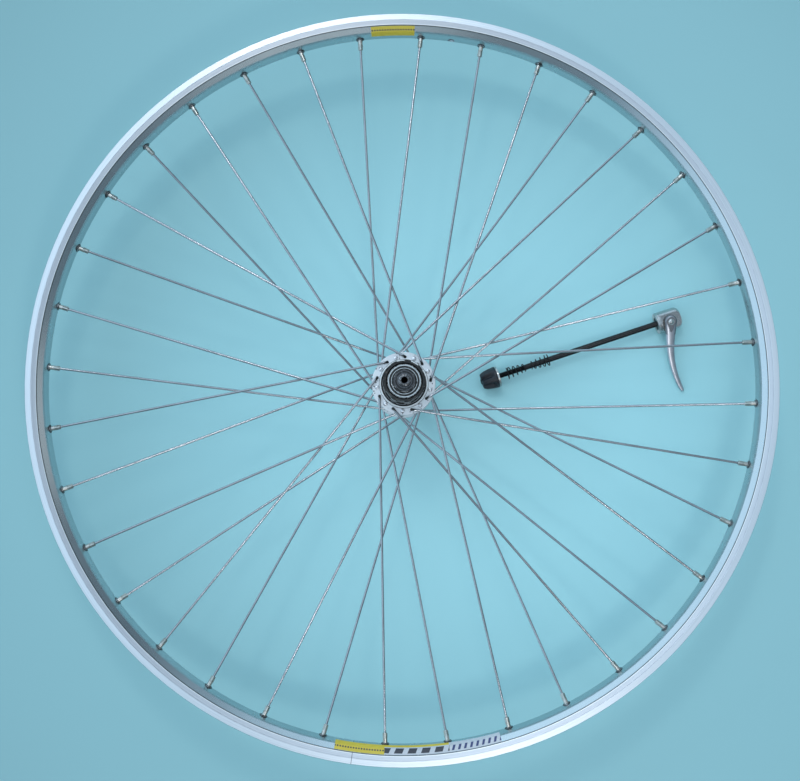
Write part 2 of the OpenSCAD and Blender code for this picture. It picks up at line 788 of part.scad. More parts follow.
module cam_housing() {
    bore_r = 5.3;
    bore_end = grip_l + 18.9;
    round_r = 4.2;
    lever_side_x = grip_l + 3.7;
    color([0.75, 0.75, 0.77])
    on_skewer() difference() {
        rotate([0, 90, 0]) rotate_extrude($fn = 96) difference() {
            union() {
                polygon([[bore_r, grip_l + 0.6], [housing_r - 0.4, grip_l + 0.6],
                         [housing_r, grip_l + 1], [housing_r, housing_x1 - round_r],
                         [housing_r - round_r, housing_x1], [0, housing_x1], [0, bore_end],
                         [bore_r, bore_end]]);
                translate([housing_r - round_r, housing_x1 - round_r]) intersection() {
                    circle(round_r, $fn = 64);
                    square(round_r);
                }
            }
            // Shallow groove round the housing's face end
            translate([housing_r, grip_l + 3]) circle(0.4, $fn = 32);
        }
        translate([lever_side_x, -15, flat_z]) cube([30, 30, 10]);
        translate([pivot_x, 0, -housing_r - over]) cylinder(r = cam_r + 0.05, h = 30);
    }
}

module housing_bush() {
    color([0.1, 0.1, 0.1])
    on_skewer() turned([
        [rod_r + 0.1, grip_l + 0.2], [5.25, grip_l + 0.2], [5.25, grip_l + 2.6],
        [rod_r + 0.1, grip_l + 2.6]]);
}

// Hard ring with radial serrations; it stands on x0 and its teeth point towards dir
module serrated_ring(inner_r, outer_r, x0, t, dir) {
    teeth = 36;
    tooth_h = 0.35;
    difference() {
        turned([[inner_r, x0], [outer_r, x0], [outer_r, x0 + dir * t], [inner_r, x0 + dir * t]]);
        for (i = [0:teeth - 1]) rotate([360 * i / teeth, 0, 0])
            translate([x0 + dir * t, 0, 0]) rotate([0, 0, 45])
                translate([-tooth_h * 0.7, -tooth_h * 0.7, inner_r - over])
                cube([tooth_h * 1.4, tooth_h * 1.4, outer_r]);
    }
}

module housing_face_ring() {
    color([0.8, 0.8, 0.82]) on_skewer() serrated_ring(5.9, 9.2, grip_l + 0.58, 0.78, -1);
}

// Shaft that turns in the housing's cross hole, with the off-centre cam in the rod's eye
module cam_shaft() {
    lobe_z = 4.6;
    color([0.78, 0.78, 0.8])
    on_skewer() translate([pivot_x, 0, 0]) {
        translate([0, 0, -9]) cylinder(r = cam_r, h = 9 - lobe_z);
        translate([-cam_throw, 0, -lobe_z - 0.1]) cylinder(r = cam_lobe_r, h = 2 * lobe_z + 0.2);
        translate([0, 0, lobe_z]) cylinder(r = cam_r, h = lever_z0 - fit - lobe_z);
        translate([0, 0, lobe_z]) cylinder(r = cam_stub_r, h = lever_z0 + lever_t - lobe_z);
        intersection() {
            translate([0, 0, lever_z0 + lever_t - 2.6]) sphere(r = 3.6);
            translate([0, 0, lever_z0 + lever_t - 0.6]) cylinder(r = cam_stub_r, h = 3);
        }
    }
}

// The lever's middle line, as [x, y, heading], and its width along the way
function lever_at(t) =
    let (s = t * (lever_straight + lever_arc_r * lever_arc_a * PI / 180))
    s < lever_straight
        ? [s * cos(lever_angle), s * sin(lever_angle), lever_angle]
        : let (h = lever_angle + (s - lever_straight) / lever_arc_r * 180 / PI)
          [lever_straight * cos(lever_angle) + lever_arc_r * (sin(h) - sin(lever_angle)),
           lever_straight * sin(lever_angle) - lever_arc_r * (cos(h) - cos(lever_angle)), h];
function lever_w(t) = 3.9 + 3.9 * (1 - t) + 3.6 * (1 - t) ^ 4 - 1.6 * max(0, t - 0.93) / 0.07;
function lever_edge(t, sign) =
    let (p = lever_at(t)) [p.x - sign * lever_w(t) / 2 * sin(p.z), p.y + sign * lever_w(t) / 2 * cos(p.z)];

module lever() {
    steps = 18;
    head_steps = 16;
    recess_r = 4.2;
    recess_h = 0.9;
    color([0.8, 0.8, 0.84])
    on_skewer() translate([pivot_x, 0, lever_z0]) difference() {
        linear_extrude(lever_t) polygon(concat(
            [for (i = [0:steps]) lever_edge(i / steps, 1)],
            [for (i = [steps:-1:0]) lever_edge(i / steps, -1)],
            [for (i = [1:head_steps - 1]) let (a = lever_angle - 90 - 180 * i / head_steps)
                lever_w(0) / 2 * [cos(a), sin(a)]]));
        translate([0, 0, -over]) cylinder(r = cam_stub_r + fit, h = lever_t + 2 * over);
        // Drop-shaped recess round the shaft's end
        translate([0, 0, lever_t - recess_h]) linear_extrude(recess_h + over) union() {
            circle(recess_r);
            rotate([0, 0, lever_angle]) polygon([[0, recess_r - 0.2], [8.4, 0.9], [8.4, -0.9],
                                                 [0, -recess_r + 0.2]]);
            rotate([0, 0, lever_angle]) translate([8.2, 0]) circle(1);
        }
    }
}

module nut_washer() {
    color([0.8, 0.8, 0.82]) on_skewer() serrated_ring(rod_r + 0.2, 9.2, -1.5, 1.5, 1);
}

module adjusting_nut() {
    back_x = -1.6;
    boss_r = 2.4;
    tip_x = back_x - nut_l + 0.9;
    bore_end = -13.4;
    grip_cut_r = 3.6;
    color([0.04, 0.04, 0.05])
    on_skewer() difference() {
        turned([
            [rod_r + 0.05, back_x], [9.5, back_x], [9.5, back_x - 2.2], [9.1, back_x - 6],
            [8.2, tip_x + 3.2], [6.6, tip_x], [boss_r, tip_x], [boss_r - 0.4, tip_x - 0.9],
            [0, tip_x - 0.9], [0, bore_end], [rod_r + 0.05, bore_end]]);
        for (i = [0:nut_grips - 1]) rotate([360 * (i + 0.5) / nut_grips, 0, 0])
            translate([tip_x - over, 0, 9.6]) rotate([0, 97, 0])
                cylinder(r = grip_cut_r, h = -tip_x + back_x - 2.2);
    }
}

// Volute spring round the rod, with its big end at x0; dir is the way it narrows
module volute_spring(x0, length, dir) {
    big_r = 5;
    small_r = 3.25;
    per_turn = 16;
    sides = 6;
    n = spring_turns * per_turn;
    // The first half turn lies flat, and the last quarter too
    function rise(i) = let (t = i / n) t < 0.1 ? 0 : min(1, (t - 0.1) / 0.84);
    function coil(i) = let (r = big_r + (small_r - big_r) * rise(i), a = 360 * i / per_turn)
        [x0 + dir * length * rise(i), r * cos(a), r * sin(a)];
    function heading(i) = let (d = coil(i + 0.5) - coil(i - 0.5)) d / norm(d);
    function outward(i) = let (p = coil(i), h = heading(i), v = [0, p.y, p.z] - h * (h * [0, p.y, p.z]))
        v / norm(v);
    swept_bar([for (i = [0:n]) [coil(i), heading(i), outward(i), spring_wire_d / 2]], sides);
}

module spring_nut_side() {
    color([0.06, 0.06, 0.06]) on_skewer() volute_spring(8.4, 16, 1);
}

module spring_lever_side() {
    color([0.06, 0.06, 0.06]) on_skewer() volute_spring(46.6, 16, -1);
}

axle();
drive_cone();
drive_lock_washer();
drive_locknut();
drive_seal();
nondrive_cone();
nondrive_spacer();
nondrive_lock_washer();
nondrive_locknut();
nondrive_seal();
rim();
rim_joint_sleeve();
rim_label_short();
rim_label_long();
eyelets();
nipples_drive();
nipples_nondrive();
spokes_drive_elbow_out();
spokes_drive_elbow_in();
spokes_nondrive_elbow_out();
spokes_nondrive_elbow_in();
hub_shell();
nondrive_cup();
nondrive_dust_cap();
freehub_core();
freehub_fixing_bolt();
drive_cup();
drive_dust_cap();
freehub_seal();
pawl_springs();
drive_balls();
nondrive_balls();
freehub_body();
freehub_balls_inboard();
freehub_balls_outboard();
pawl_a();
pawl_b();
skewer_rod();
cam_housing();
housing_bush();
housing_face_ring();
cam_shaft();
lever();
nut_washer();
adjusting_nut();
spring_nut_side();
spring_lever_side();
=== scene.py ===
"""Looks of a bicycle rear wheel that lies flat, with its quick-release skewer beside the hub."""

import json
import math

import bmesh
import bpy
from mathutils import Matrix, Vector


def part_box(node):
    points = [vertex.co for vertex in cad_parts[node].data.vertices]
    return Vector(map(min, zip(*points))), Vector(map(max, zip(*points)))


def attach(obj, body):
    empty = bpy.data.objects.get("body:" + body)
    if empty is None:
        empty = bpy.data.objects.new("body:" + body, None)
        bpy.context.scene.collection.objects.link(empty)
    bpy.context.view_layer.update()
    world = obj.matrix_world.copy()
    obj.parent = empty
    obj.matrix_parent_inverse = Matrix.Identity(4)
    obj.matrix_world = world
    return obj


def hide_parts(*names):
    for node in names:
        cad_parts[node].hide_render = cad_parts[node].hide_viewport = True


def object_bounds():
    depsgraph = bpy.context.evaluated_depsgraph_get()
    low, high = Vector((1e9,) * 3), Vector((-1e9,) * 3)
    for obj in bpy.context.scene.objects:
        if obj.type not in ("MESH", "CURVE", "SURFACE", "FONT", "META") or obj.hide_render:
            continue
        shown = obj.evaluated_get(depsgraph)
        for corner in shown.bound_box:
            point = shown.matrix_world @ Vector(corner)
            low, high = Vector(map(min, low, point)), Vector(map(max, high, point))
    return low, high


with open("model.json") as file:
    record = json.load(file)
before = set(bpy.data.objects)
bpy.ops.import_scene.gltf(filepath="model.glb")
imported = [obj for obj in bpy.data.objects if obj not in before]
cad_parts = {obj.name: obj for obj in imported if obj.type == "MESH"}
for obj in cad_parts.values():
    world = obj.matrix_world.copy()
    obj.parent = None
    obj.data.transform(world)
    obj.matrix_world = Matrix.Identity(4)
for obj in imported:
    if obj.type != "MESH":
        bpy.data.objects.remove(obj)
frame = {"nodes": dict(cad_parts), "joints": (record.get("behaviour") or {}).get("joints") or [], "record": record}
cad_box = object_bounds()

MM = 0.001
TAU = 2 * math.pi
JOINT = {joint["name"]: joint for joint in frame["joints"]}

# Sizes in millimetres that both a material and a piece need, and angles in degrees
SPOKES_A_FAMILY = 9
SPOKE_STEP = 360 / SPOKES_A_FAMILY
FIRST_NIPPLE = 7.1
HOLE_R = 22.5
LEVER_LOW = 6.6
LEVER_T = 5.0
LEVER_TOP = LEVER_LOW + LEVER_T

# ---------------------------------------------------------------- camera, floor and light

# Lengths in metres and angles in degrees, but the lens and its sensor in millimetres
CAMERA_AT = (-0.01545, -0.06579, 1.09783)
CAMERA_TILT = (3.2, -0.66, 0.0)
CAMERA_LENS = 58.5
SENSOR_WIDTH = 36.0
FLOOR_SIZE = 8.0
# Painted pool of light on the floor: colour where it is brightest, that place, and (distance from it, brightness)
# outward
FLOOR_MIDDLE = (0.49, 0.86, 0.88)
FLOOR_LIGHT_POOL_AT = (0.07, -0.02)
FLOOR_LIGHT_POOL_FALL = ((0.17, 1.0), (0.38, 0.76), (0.62, 0.62))
# Surroundings: cosines between which the wall and the overhead panel fade, and their brightness
WALL_AZIMUTH = 145
WALL_EDGE = (-0.15, 0.5)
WALL_DIM = 0.18
OVERHEAD_EDGE = (0.82, 0.97)
OVERHEAD_LEVEL = 0.62
STUDIO_TINT = (0.72, 0.97, 1.2)
STUDIO_LEVEL = 1.22


def degrees(*angles):
    """Angles given in degrees, in radians."""
    return tuple(math.radians(angle) for angle in angles)


def add_camera():
    """Camera above the part, looking down."""
    data = bpy.data.cameras.new("camera")
    data.lens = CAMERA_LENS
    data.sensor_width = SENSOR_WIDTH
    data.clip_start = 0.01
    camera = bpy.data.objects.new("camera", data)
    camera.location = CAMERA_AT
    camera.rotation_euler = degrees(*CAMERA_TILT)
    bpy.context.scene.collection.objects.link(camera)
    bpy.context.scene.camera = camera


def on_sphere(azimuth, elevation, distance):
    """Point seen from the origin at that azimuth from +X and elevation above the floor."""
    flat = distance * math.cos(math.radians(elevation))
    return Vector((flat * math.cos(math.radians(azimuth)),
                   flat * math.sin(math.radians(azimuth)),
                   distance * math.sin(math.radians(elevation))))


def add_area_light(name, azimuth, elevation, distance, size, power, tint=(1, 1, 1)):
    """Lamp that faces the origin: angles in degrees, distance and size in metres, power in watts."""
    data = bpy.data.lights.new(name, "AREA")
    data.shape = "RECTANGLE"
    data.size, data.size_y = size
    data.energy = power
    data.color = tint
    light = bpy.data.objects.new(name, data)
    light.location = on_sphere(azimuth, elevation, distance)
    light.rotation_euler = (-light.location).to_track_quat("-Z", "Y").to_euler()
    bpy.context.scene.collection.objects.link(light)


def add_world():
    """Pale studio surroundings: a bright wall to one side, and dim all round the rest."""
    world = bpy.data.worlds.new("studio")
    world.use_nodes = True
    tree = world.node_tree

    def node(kind, **settings):
        made = tree.nodes.new(kind)
        for key, value in settings.items():
            setattr(made, key, value)
        return made

    def spread(value, low, high, at_low, at_high):
        made = node("ShaderNodeMapRange", interpolation_type="SMOOTHSTEP")
        tree.links.new(value, made.inputs["Value"])
        for socket, number in zip(made.inputs[1:5], (low, high, at_low, at_high)):
            socket.default_value = number
        return made.outputs[0]

    place = node("ShaderNodeTexCoord").outputs["Generated"]
    height = node("ShaderNodeSeparateXYZ")
    tree.links.new(place, height.inputs[0])
    towards_wall = node("ShaderNodeVectorMath", operation="DOT_PRODUCT")
    tree.links.new(place, towards_wall.inputs[0])
    towards_wall.inputs[1].default_value = on_sphere(WALL_AZIMUTH, 0, 1)
    wall = spread(towards_wall.outputs["Value"], *WALL_EDGE, WALL_DIM, 1.0)
    overhead = spread(height.outputs["Z"], *OVERHEAD_EDGE, 0.0, 1.0)
    even = node("ShaderNodeMix", data_type="FLOAT")
    tree.links.new(overhead, even.inputs[0])
    tree.links.new(wall, even.inputs[2])
    even.inputs[3].default_value = OVERHEAD_LEVEL
    tinted = node("ShaderNodeVectorMath", operation="SCALE")
    tinted.inputs[0].default_value = STUDIO_TINT
    tree.links.new(even.outputs[0], tinted.inputs["Scale"])
    background = tree.nodes["Background"]
    background.inputs["Strength"].default_value = STUDIO_LEVEL
    tree.links.new(tinted.outputs[0], background.inputs["Color"])
    bpy.context.scene.world = world


def add_floor():
    """Level floor under the part, with a painted pool of light: paler in the middle, darker outward."""
    half = FLOOR_SIZE / 2
    z = cad_box[0][2]
    corners = [(-half, -half, z), (half, -half, z), (half, half, z), (-half, half, z)]
    mesh = bpy.data.meshes.new("floor")
    mesh.from_pydata(corners, [], [(0, 1, 2, 3)])
    floor = bpy.data.objects.new("floor", mesh)
    bpy.context.scene.collection.objects.link(floor)
    shader = Shader("floor_pale", metallic=0.0, roughness=0.75)
    x, y, _ = shader.split()
    # painted pool of light: the colour darkens with distance from its brightest place
    dx, dy = (shader.math("SUBTRACT", value, at) for value, at in zip((x, y), FLOOR_LIGHT_POOL_AT))
    reach = shader.math("SQRT", shader.math(
        "ADD", shader.math("MULTIPLY", dx, dx), shader.math("MULTIPLY", dy, dy)))
    cloudy = shader.math("MULTIPLY", shader.noise(2.2, detail=2), 0.06)
    shader.feed("Base Color", shader.ramp(
        shader.math("ADD", reach, cloudy),
        [(at, tuple(level * channel for channel in FLOOR_MIDDLE)) for at, level in FLOOR_LIGHT_POOL_FALL]))
    mesh.materials.append(shader.material)


# ---------------------------------------------------------------- material building


class Shader:
    """A Principled material and short calls for the nodes that its look is made of."""

    def __init__(self, name, metallic=1.0, roughness=0.3, **fixed):
        self.material = bpy.data.materials.new(name)
        self.material.use_nodes = True
        self.tree = self.material.node_tree
        self.bsdf = self.tree.nodes["Principled BSDF"]
        self.set("Metallic", metallic)
        self.set("Roughness", roughness)
        for socket, value in fixed.items():
            self.set(socket.replace("_", " "), value)
        self.object_place = self.node("ShaderNodeTexCoord").outputs["Object"]

    def set(self, socket, value):
        self.bsdf.inputs[socket].default_value = value

    def node(self, kind, **settings):
        made = self.tree.nodes.new(kind)
        for key, value in settings.items():
            setattr(made, key, value)
        return made

    def plug(self, socket, value):
        """Links a socket, or sets a number, vector or colour."""
        if isinstance(value, bpy.types.NodeSocket):
            self.tree.links.new(value, socket)
        elif isinstance(value, (tuple, list)) and socket.type == "RGBA":
            socket.default_value = (*value[:3], 1.0)
        else:
            socket.default_value = value

    def feed(self, socket, value):
        self.plug(self.bsdf.inputs[socket], value)

    def math(self, operation, a, b=0.0, clamp=False):
        made = self.node("ShaderNodeMath", operation=operation, use_clamp=clamp)
        self.plug(made.inputs[0], a)
        self.plug(made.inputs[1], b)
        return made.outputs[0]

    def split(self):
        made = self.node("ShaderNodeSeparateXYZ")
        self.plug(made.inputs[0], self.object_place)
        return made.outputs

    def join(self, x, y, z):
        made = self.node("ShaderNodeCombineXYZ")
        for socket, value in zip(made.inputs, (x, y, z)):
            self.plug(socket, value)
        return made.outputs[0]

    def band(self, value, low, high, soft):
        """1 between low and high, with soft edges."""
        rise = self.node("ShaderNodeMapRange", interpolation_type="SMOOTHSTEP")
        fall = self.node("ShaderNodeMapRange", interpolation_type="SMOOTHSTEP")
        for made, edge, ends in ((rise, low, (0.0, 1.0)), (fall, high, (1.0, 0.0))):
            self.plug(made.inputs["Value"], value)
            self.plug(made.inputs["From Min"], edge - soft / 2)
            self.plug(made.inputs["From Max"], edge + soft / 2)
            self.plug(made.inputs["To Min"], ends[0])
            self.plug(made.inputs["To Max"], ends[1])
        return self.math("MULTIPLY", rise.outputs[0], fall.outputs[0])

    def above(self, value, edge, soft):
        return self.band(value, edge, 1e6, soft)

    def wave(self, value, pitch):
        """Sine from -1 to 1 that repeats at each pitch of the value."""
        return self.math("SINE", self.math("MULTIPLY", value, TAU / pitch))

    def noise(self, scale, detail=4.0, rough=0.5, vector=None, twist=0.0):
        made = self.node("ShaderNodeTexNoise")
        self.plug(made.inputs["Vector"], vector or self.object_place)
        self.plug(made.inputs["Scale"], scale)
        self.plug(made.inputs["Detail"], detail)
        self.plug(made.inputs["Roughness"], rough)
        self.plug(made.inputs["Distortion"], twist)
        return made.outputs["Fac"]

    def specks(self, scale, size):
        """1 inside small scattered spots."""
        made = self.node("ShaderNodeTexVoronoi")
        self.plug(made.inputs["Vector"], self.object_place)
        self.plug(made.inputs["Scale"], scale)
        return self.math("LESS_THAN", made.outputs["Distance"], size)

    def ramp(self, fac, stops):
        made = self.node("ShaderNodeValToRGB")
        self.plug(made.inputs[0], fac)
        elements = made.color_ramp.elements
        while len(elements) < len(stops):
            elements.new(0.5)
        for element, (position, colour) in zip(elements, stops):
            element.position = position
            level = colour if isinstance(colour, (tuple, list)) else (colour,) * 3
            element.color = (*level, 1.0)
        return made.outputs[0]

    def mix(self, fac, a, b, blend_type="MIX"):
        """Colour between a and b, or a multiplied by b where blend_type says so."""
        made = self.node("ShaderNodeMix", data_type="RGBA", blend_type=blend_type)
        self.plug(made.inputs[0], fac)
        self.plug(made.inputs[6], a)
        self.plug(made.inputs[7], b)
        return made.outputs[2]

    def blend(self, fac, a, b):
        """Number between a and b."""
        made = self.node("ShaderNodeMix", data_type="FLOAT")
        self.plug(made.inputs[0], fac)
        self.plug(made.inputs[2], a)
        self.plug(made.inputs[3], b)
        return made.outputs[0]

    def polar(self):
        """Radius from the Z axis in mm, angle in degrees from +X in 0 to 360, and height in mm."""
        x, y, z = self.split()
        squares = self.math("ADD", self.math("MULTIPLY", x, x), self.math("MULTIPLY", y, y))
        radius = self.math("MULTIPLY", self.math("SQRT", squares), 1 / MM)
        turn = self.math("MULTIPLY", self.math("ARCTAN2", y, x), 180 / math.pi)
        angle = self.math("FLOORED_MODULO", turn, 360.0)
        return radius, angle, self.math("MULTIPLY", z, 1 / MM)

    def around(self, along, across, height=0.0):
        """Place whose textures run round the Z axis: stretched by along, packed by across."""
        x, y, z = self.split()
        radius = self.math("SQRT", self.math(
            "ADD", self.math("MULTIPLY", x, x), self.math("MULTIPLY", y, y)))
        safe = self.math("MAXIMUM", radius, 1e-5)
        depth = self.math("ADD", self.math("MULTIPLY", radius, across),
                          self.math("MULTIPLY", z, height))
        return self.join(self.math("MULTIPLY", self.math("DIVIDE", x, safe), along),
                         self.math("MULTIPLY", self.math("DIVIDE", y, safe), along), depth)

    def bump(self, height, depth, under=None):
        """Adds relief: depth is in metres for a height from 0 to 1."""
        made = self.node("ShaderNodeBump")
        self.plug(made.inputs["Distance"], depth)
        self.plug(made.inputs["Height"], height)
        if under is not None:
            self.plug(made.inputs["Normal"], under)
        self.feed("Normal", made.outputs[0])
        return made.outputs[0]

    def turned_grain(self, amount):
        """Stretches the highlight across grooves that run round the Z axis."""
        tangent = self.node("ShaderNodeTangent", direction_type="RADIAL", axis="Z")
        self.set("Anisotropic", amount)
        self.set("Anisotropic Rotation", 0.25)
        self.feed("Tangent", tangent.outputs[0])


# ---------------------------------------------------------------- materials

GREASE = (0.012, 0.0105, 0.009)

# The rim's bands: radii and heights from its middle plane in mm, the seam's place in degrees
TRACK_HEIGHT = 9.42
UPPER_HEIGHT = 8.2
BANDS_MEET_R = 311.6
# radii of a painted highlight along the brake track's inner edge, and of painted shade just inside it
PAINTED_HIGHLIGHT_EDGE = (307.35, 307.9)
PAINTED_SHADE_EDGE = (306.6, 307.3)
SEAM = (262.06, 262.14)
# How much the track's inner band leans inward, and the pitch of its turned grooves in mm
BAND_SLOPE = 0.27
GROOVE_PITCH = 0.42


def rim_alloy():
    """Satin anodised box section with two turned bands on each brake track, and a painted highlight and painted
    shade along each track's inner edge.
    """
    shader = Shader("rim_alloy", roughness=0.3)
    radius, angle, height = shader.polar()
    reach = shader.math("ABSOLUTE", height)
    track = shader.above(reach, TRACK_HEIGHT, 0.12)
    outer = shader.above(radius, BANDS_MEET_R, 0.25)
    streaks = shader.noise(1.0, detail=6, rough=0.65, vector=shader.around(2.5, 2600))
    patches = shader.noise(14.0, detail=5, rough=0.6)
    bands = shader.mix(outer, (0.74, 0.745, 0.775), (0.91, 0.93, 0.96))
    worn = shader.ramp(streaks, [(0.3, 0.72), (0.6, 1.0)])
    worn_bands = shader.mix(0.55, bands, worn, blend_type="MULTIPLY")
    satin = shader.ramp(patches, [(0.3, (0.48, 0.55, 0.57)), (0.7, (0.55, 0.61, 0.63))])
    body = shader.mix(track, satin, worn_bands)
    upper = shader.above(reach, UPPER_HEIGHT, 0.3)
    # painted highlight along the track's inner edge, and painted shade just inside it
    painted_highlight_line = shader.math("MULTIPLY", upper, shader.band(radius, *PAINTED_HIGHLIGHT_EDGE, 0.2))
    painted_shade_line = shader.math("MULTIPLY", upper, shader.band(radius, *PAINTED_SHADE_EDGE, 0.25))
    body = shader.mix(painted_highlight_line, body, (1.0, 0.99, 0.97))
    body = shader.mix(shader.math("MULTIPLY", painted_shade_line, 0.75), body, (0.1, 0.1, 0.1))
    seam = shader.band(angle, *SEAM, 0.05)
    shader.feed("Base Color", shader.mix(seam, body, (0.16, 0.16, 0.17)))
    rough_track = shader.blend(streaks, 0.3, 0.5)
    rough_satin = shader.blend(patches, 0.22, 0.32)
    shader.feed("Roughness", shader.blend(track, rough_satin, rough_track))
    grooves = shader.wave(radius, GROOVE_PITCH)
    fine = shader.blend(0.5, grooves, streaks)
    inside = shader.math("MINIMUM", shader.math("SUBTRACT", radius, BANDS_MEET_R), 0.0)
    inner_fall = shader.math("MULTIPLY", inside, BAND_SLOPE)
    fallen = shader.bump(inner_fall, MM)
    shader.bump(shader.math("MULTIPLY", fine, track), 0.012 * MM, under=fallen)
    shader.turned_grain(0.55)
    return shader.material


# The printed films: radii in mm, angles and pitches in degrees round the rim
PRINT_ROW = (301.6, 305.4)
PRINT_LINE = (302.9, 304.1)
SILVER_FROM_R = 301.0
BLOCK_PART = (267.0, 277.2)
STROKE_PART = (277.2, 286.0)
DASH_PITCH = 0.42
BLOCK_PITCH = 2.1
STROKE_PITCH = 0.95
# Degrees by which the marks lean for each millimetre of radius
PRINT_LEAN = 0.09


def label_film():
    """Yellow film with a row of plain dark blocks and a row of thin slanted strokes."""
    shader = Shader("label_film", metallic=0.0, roughness=0.35)
    radius, angle, _ = shader.polar()
    scuffs = shader.noise(1.0, detail=6, rough=0.7, vector=shader.around(60, 2500))
    yellow = shader.ramp(scuffs, [(0.3, (0.6, 0.44, 0.04)), (0.55, (0.76, 0.57, 0.055))])
    silver = shader.ramp(scuffs, [(0.3, (0.5, 0.5, 0.52)), (0.6, (0.66, 0.67, 0.7))])
    ink = (0.03, 0.035, 0.05)
    navy = (0.03, 0.05, 0.16)
    middle = shader.band(radius, *PRINT_ROW, 0.25)
    # the short label and the long one's first stretch: yellow, with a thin broken line
    line = shader.math("MULTIPLY", shader.band(radius, *PRINT_LINE, 0.15),
                       shader.above(shader.wave(angle, DASH_PITCH), -0.2, 0.4))
    tab = shader.mix(line, yellow, ink)
    # blocks on a clear stretch
    lean = shader.math("ADD", angle, shader.math("MULTIPLY", radius, PRINT_LEAN))
    blocks = shader.math("MULTIPLY", shader.above(shader.wave(lean, BLOCK_PITCH), -0.35, 0.1), middle)
    ground = shader.mix(shader.above(radius, SILVER_FROM_R, 0.2), yellow, silver)
    block_part = shader.mix(blocks, ground, ink)
    # slanted strokes
    strokes = shader.math("MULTIPLY", shader.above(shader.wave(lean, STROKE_PITCH), 0.25, 0.3), middle)
    stroke_part = shader.mix(strokes, silver, navy)
    in_blocks = shader.band(angle, *BLOCK_PART, 0.06)
    in_strokes = shader.band(angle, *STROKE_PART, 0.06)
    face = shader.mix(in_strokes, shader.mix(in_blocks, tab, block_part), stroke_part)
    shader.feed("Base Color", face)
    shader.feed("Roughness", shader.blend(scuffs, 0.28, 0.5))
    shader.bump(scuffs, 0.01 * MM)
    return shader.material


def spoke_steel():
    """Drawn stainless wire, with heads painted paler as if lit, and painted shade where an elbow enters its hole.
    """
    shader = Shader("spoke_steel", roughness=0.16)
    radius, angle, _ = shader.polar()
    bloom = shader.noise(38.0, detail=4, rough=0.55)
    wire = shader.ramp(bloom, [(0.3, (0.36, 0.36, 0.37)), (0.66, (0.46, 0.46, 0.48))])
    # painted light at the flange holes: dark shade where an elbow goes in, heads painted paler as if lit
    at_hole = shader.band(radius, HOLE_R - 1.6, HOLE_R + 1.1, 0.5)
    turn = shader.math("MULTIPLY", shader.math("SUBTRACT", angle, FIRST_NIPPLE), TAU / SPOKE_STEP)
    elbow_out = shader.above(shader.math("COSINE", turn), 0.0, 0.3)
    ends = shader.mix(elbow_out, (0.8, 0.8, 0.82), (0.05, 0.048, 0.045))
    shader.feed("Base Color", shader.mix(at_hole, wire, ends))
    shader.feed("Roughness", shader.blend(at_hole, shader.blend(bloom, 0.12, 0.22), 0.34))
    shader.bump(shader.noise(2400.0, detail=2), 0.001 * MM)
    return shader.material


def nipple_nickel():
    """Nickel over brass, dulled on the flats."""
    shader = Shader("nipple_nickel", roughness=0.3)
    dull = shader.noise(420.0, detail=5, rough=0.6)
    shader.feed("Base Color", shader.ramp(dull, [(0.25, (0.36, 0.33, 0.27)),
                                                 (0.5, (0.62, 0.6, 0.55)),
                                                 (0.8, (0.74, 0.73, 0.7))]))
    shader.feed("Roughness", shader.blend(dull, 0.2, 0.45))
    shader.bump(shader.noise(1500.0, detail=3), 0.02 * MM)
    return shader.material


def eyelet_steel():
    """Pressed eyelet with dirt round its edge."""
    shader = Shader("eyelet_steel", roughness=0.35)
    dirt = shader.noise(260.0, detail=5, rough=0.7)
    shader.feed("Base Color", shader.ramp(dirt, [(0.35, (0.06, 0.055, 0.05)),
                                                 (0.6, (0.4, 0.4, 0.41))]))
    shader.feed("Roughness", shader.blend(dirt, 0.6, 0.3))
    shader.bump(dirt, 0.03 * MM)
    return shader.material


# Radii in mm of the hub's turned lip and of the painted shade in the crease round it, and the heights they begin
# at
LIP = (18.9, 20.2)
LIP_HEIGHT = 21.9
CREASE = (20.25, 20.6)
CREASE_HEIGHT = 20.8


def hub_alloy():
    """Satin forged alloy with a turned lip, specks of old dirt, and painted shade in the crease round the lip."""
    shader = Shader("hub_alloy", metallic=0.45, roughness=0.3)
    radius, _, height = shader.polar()
    cloud = shader.noise(90.0, detail=5, rough=0.6)
    turned = shader.noise(1.0, detail=5, rough=0.6, vector=shader.around(3, 3500, 2400))
    specks = shader.math("MULTIPLY", shader.specks(420.0, 0.24),
                         shader.above(shader.noise(130.0, detail=3), 0.5, 0.1))
    film = shader.above(shader.noise(55.0, detail=6, rough=0.72, twist=0.6), 0.62, 0.12)
    lip = shader.math("MULTIPLY", shader.band(radius, *LIP, 0.15),
                      shader.above(height, LIP_HEIGHT, 0.2))
    satin = shader.ramp(cloud, [(0.3, (0.86, 0.86, 0.87)), (0.7, (0.96, 0.95, 0.95))])
    dusty = shader.mix(shader.math("MULTIPLY", film, 0.4), satin, (0.36, 0.33, 0.3))
    spotted = shader.mix(specks, dusty, (0.07, 0.06, 0.055))
    # painted shade in the corner where the lip meets the flange
    painted_crease_shade = shader.math("MULTIPLY", shader.band(radius, *CREASE, 0.1),
                         shader.above(height, CREASE_HEIGHT, 0.2))
    clean = shader.mix(lip, spotted, (0.97, 0.95, 0.92))
    shader.feed("Base Color", shader.mix(painted_crease_shade, clean, (0.12, 0.11, 0.1)))
    matt = shader.blend(specks, shader.blend(cloud, 0.26, 0.42), 0.7)
    shader.feed("Roughness", shader.blend(lip, matt, 0.18))
    shader.bump(shader.blend(0.6, turned, cloud), 0.02 * MM)
    shader.turned_grain(0.3)
    return shader.material


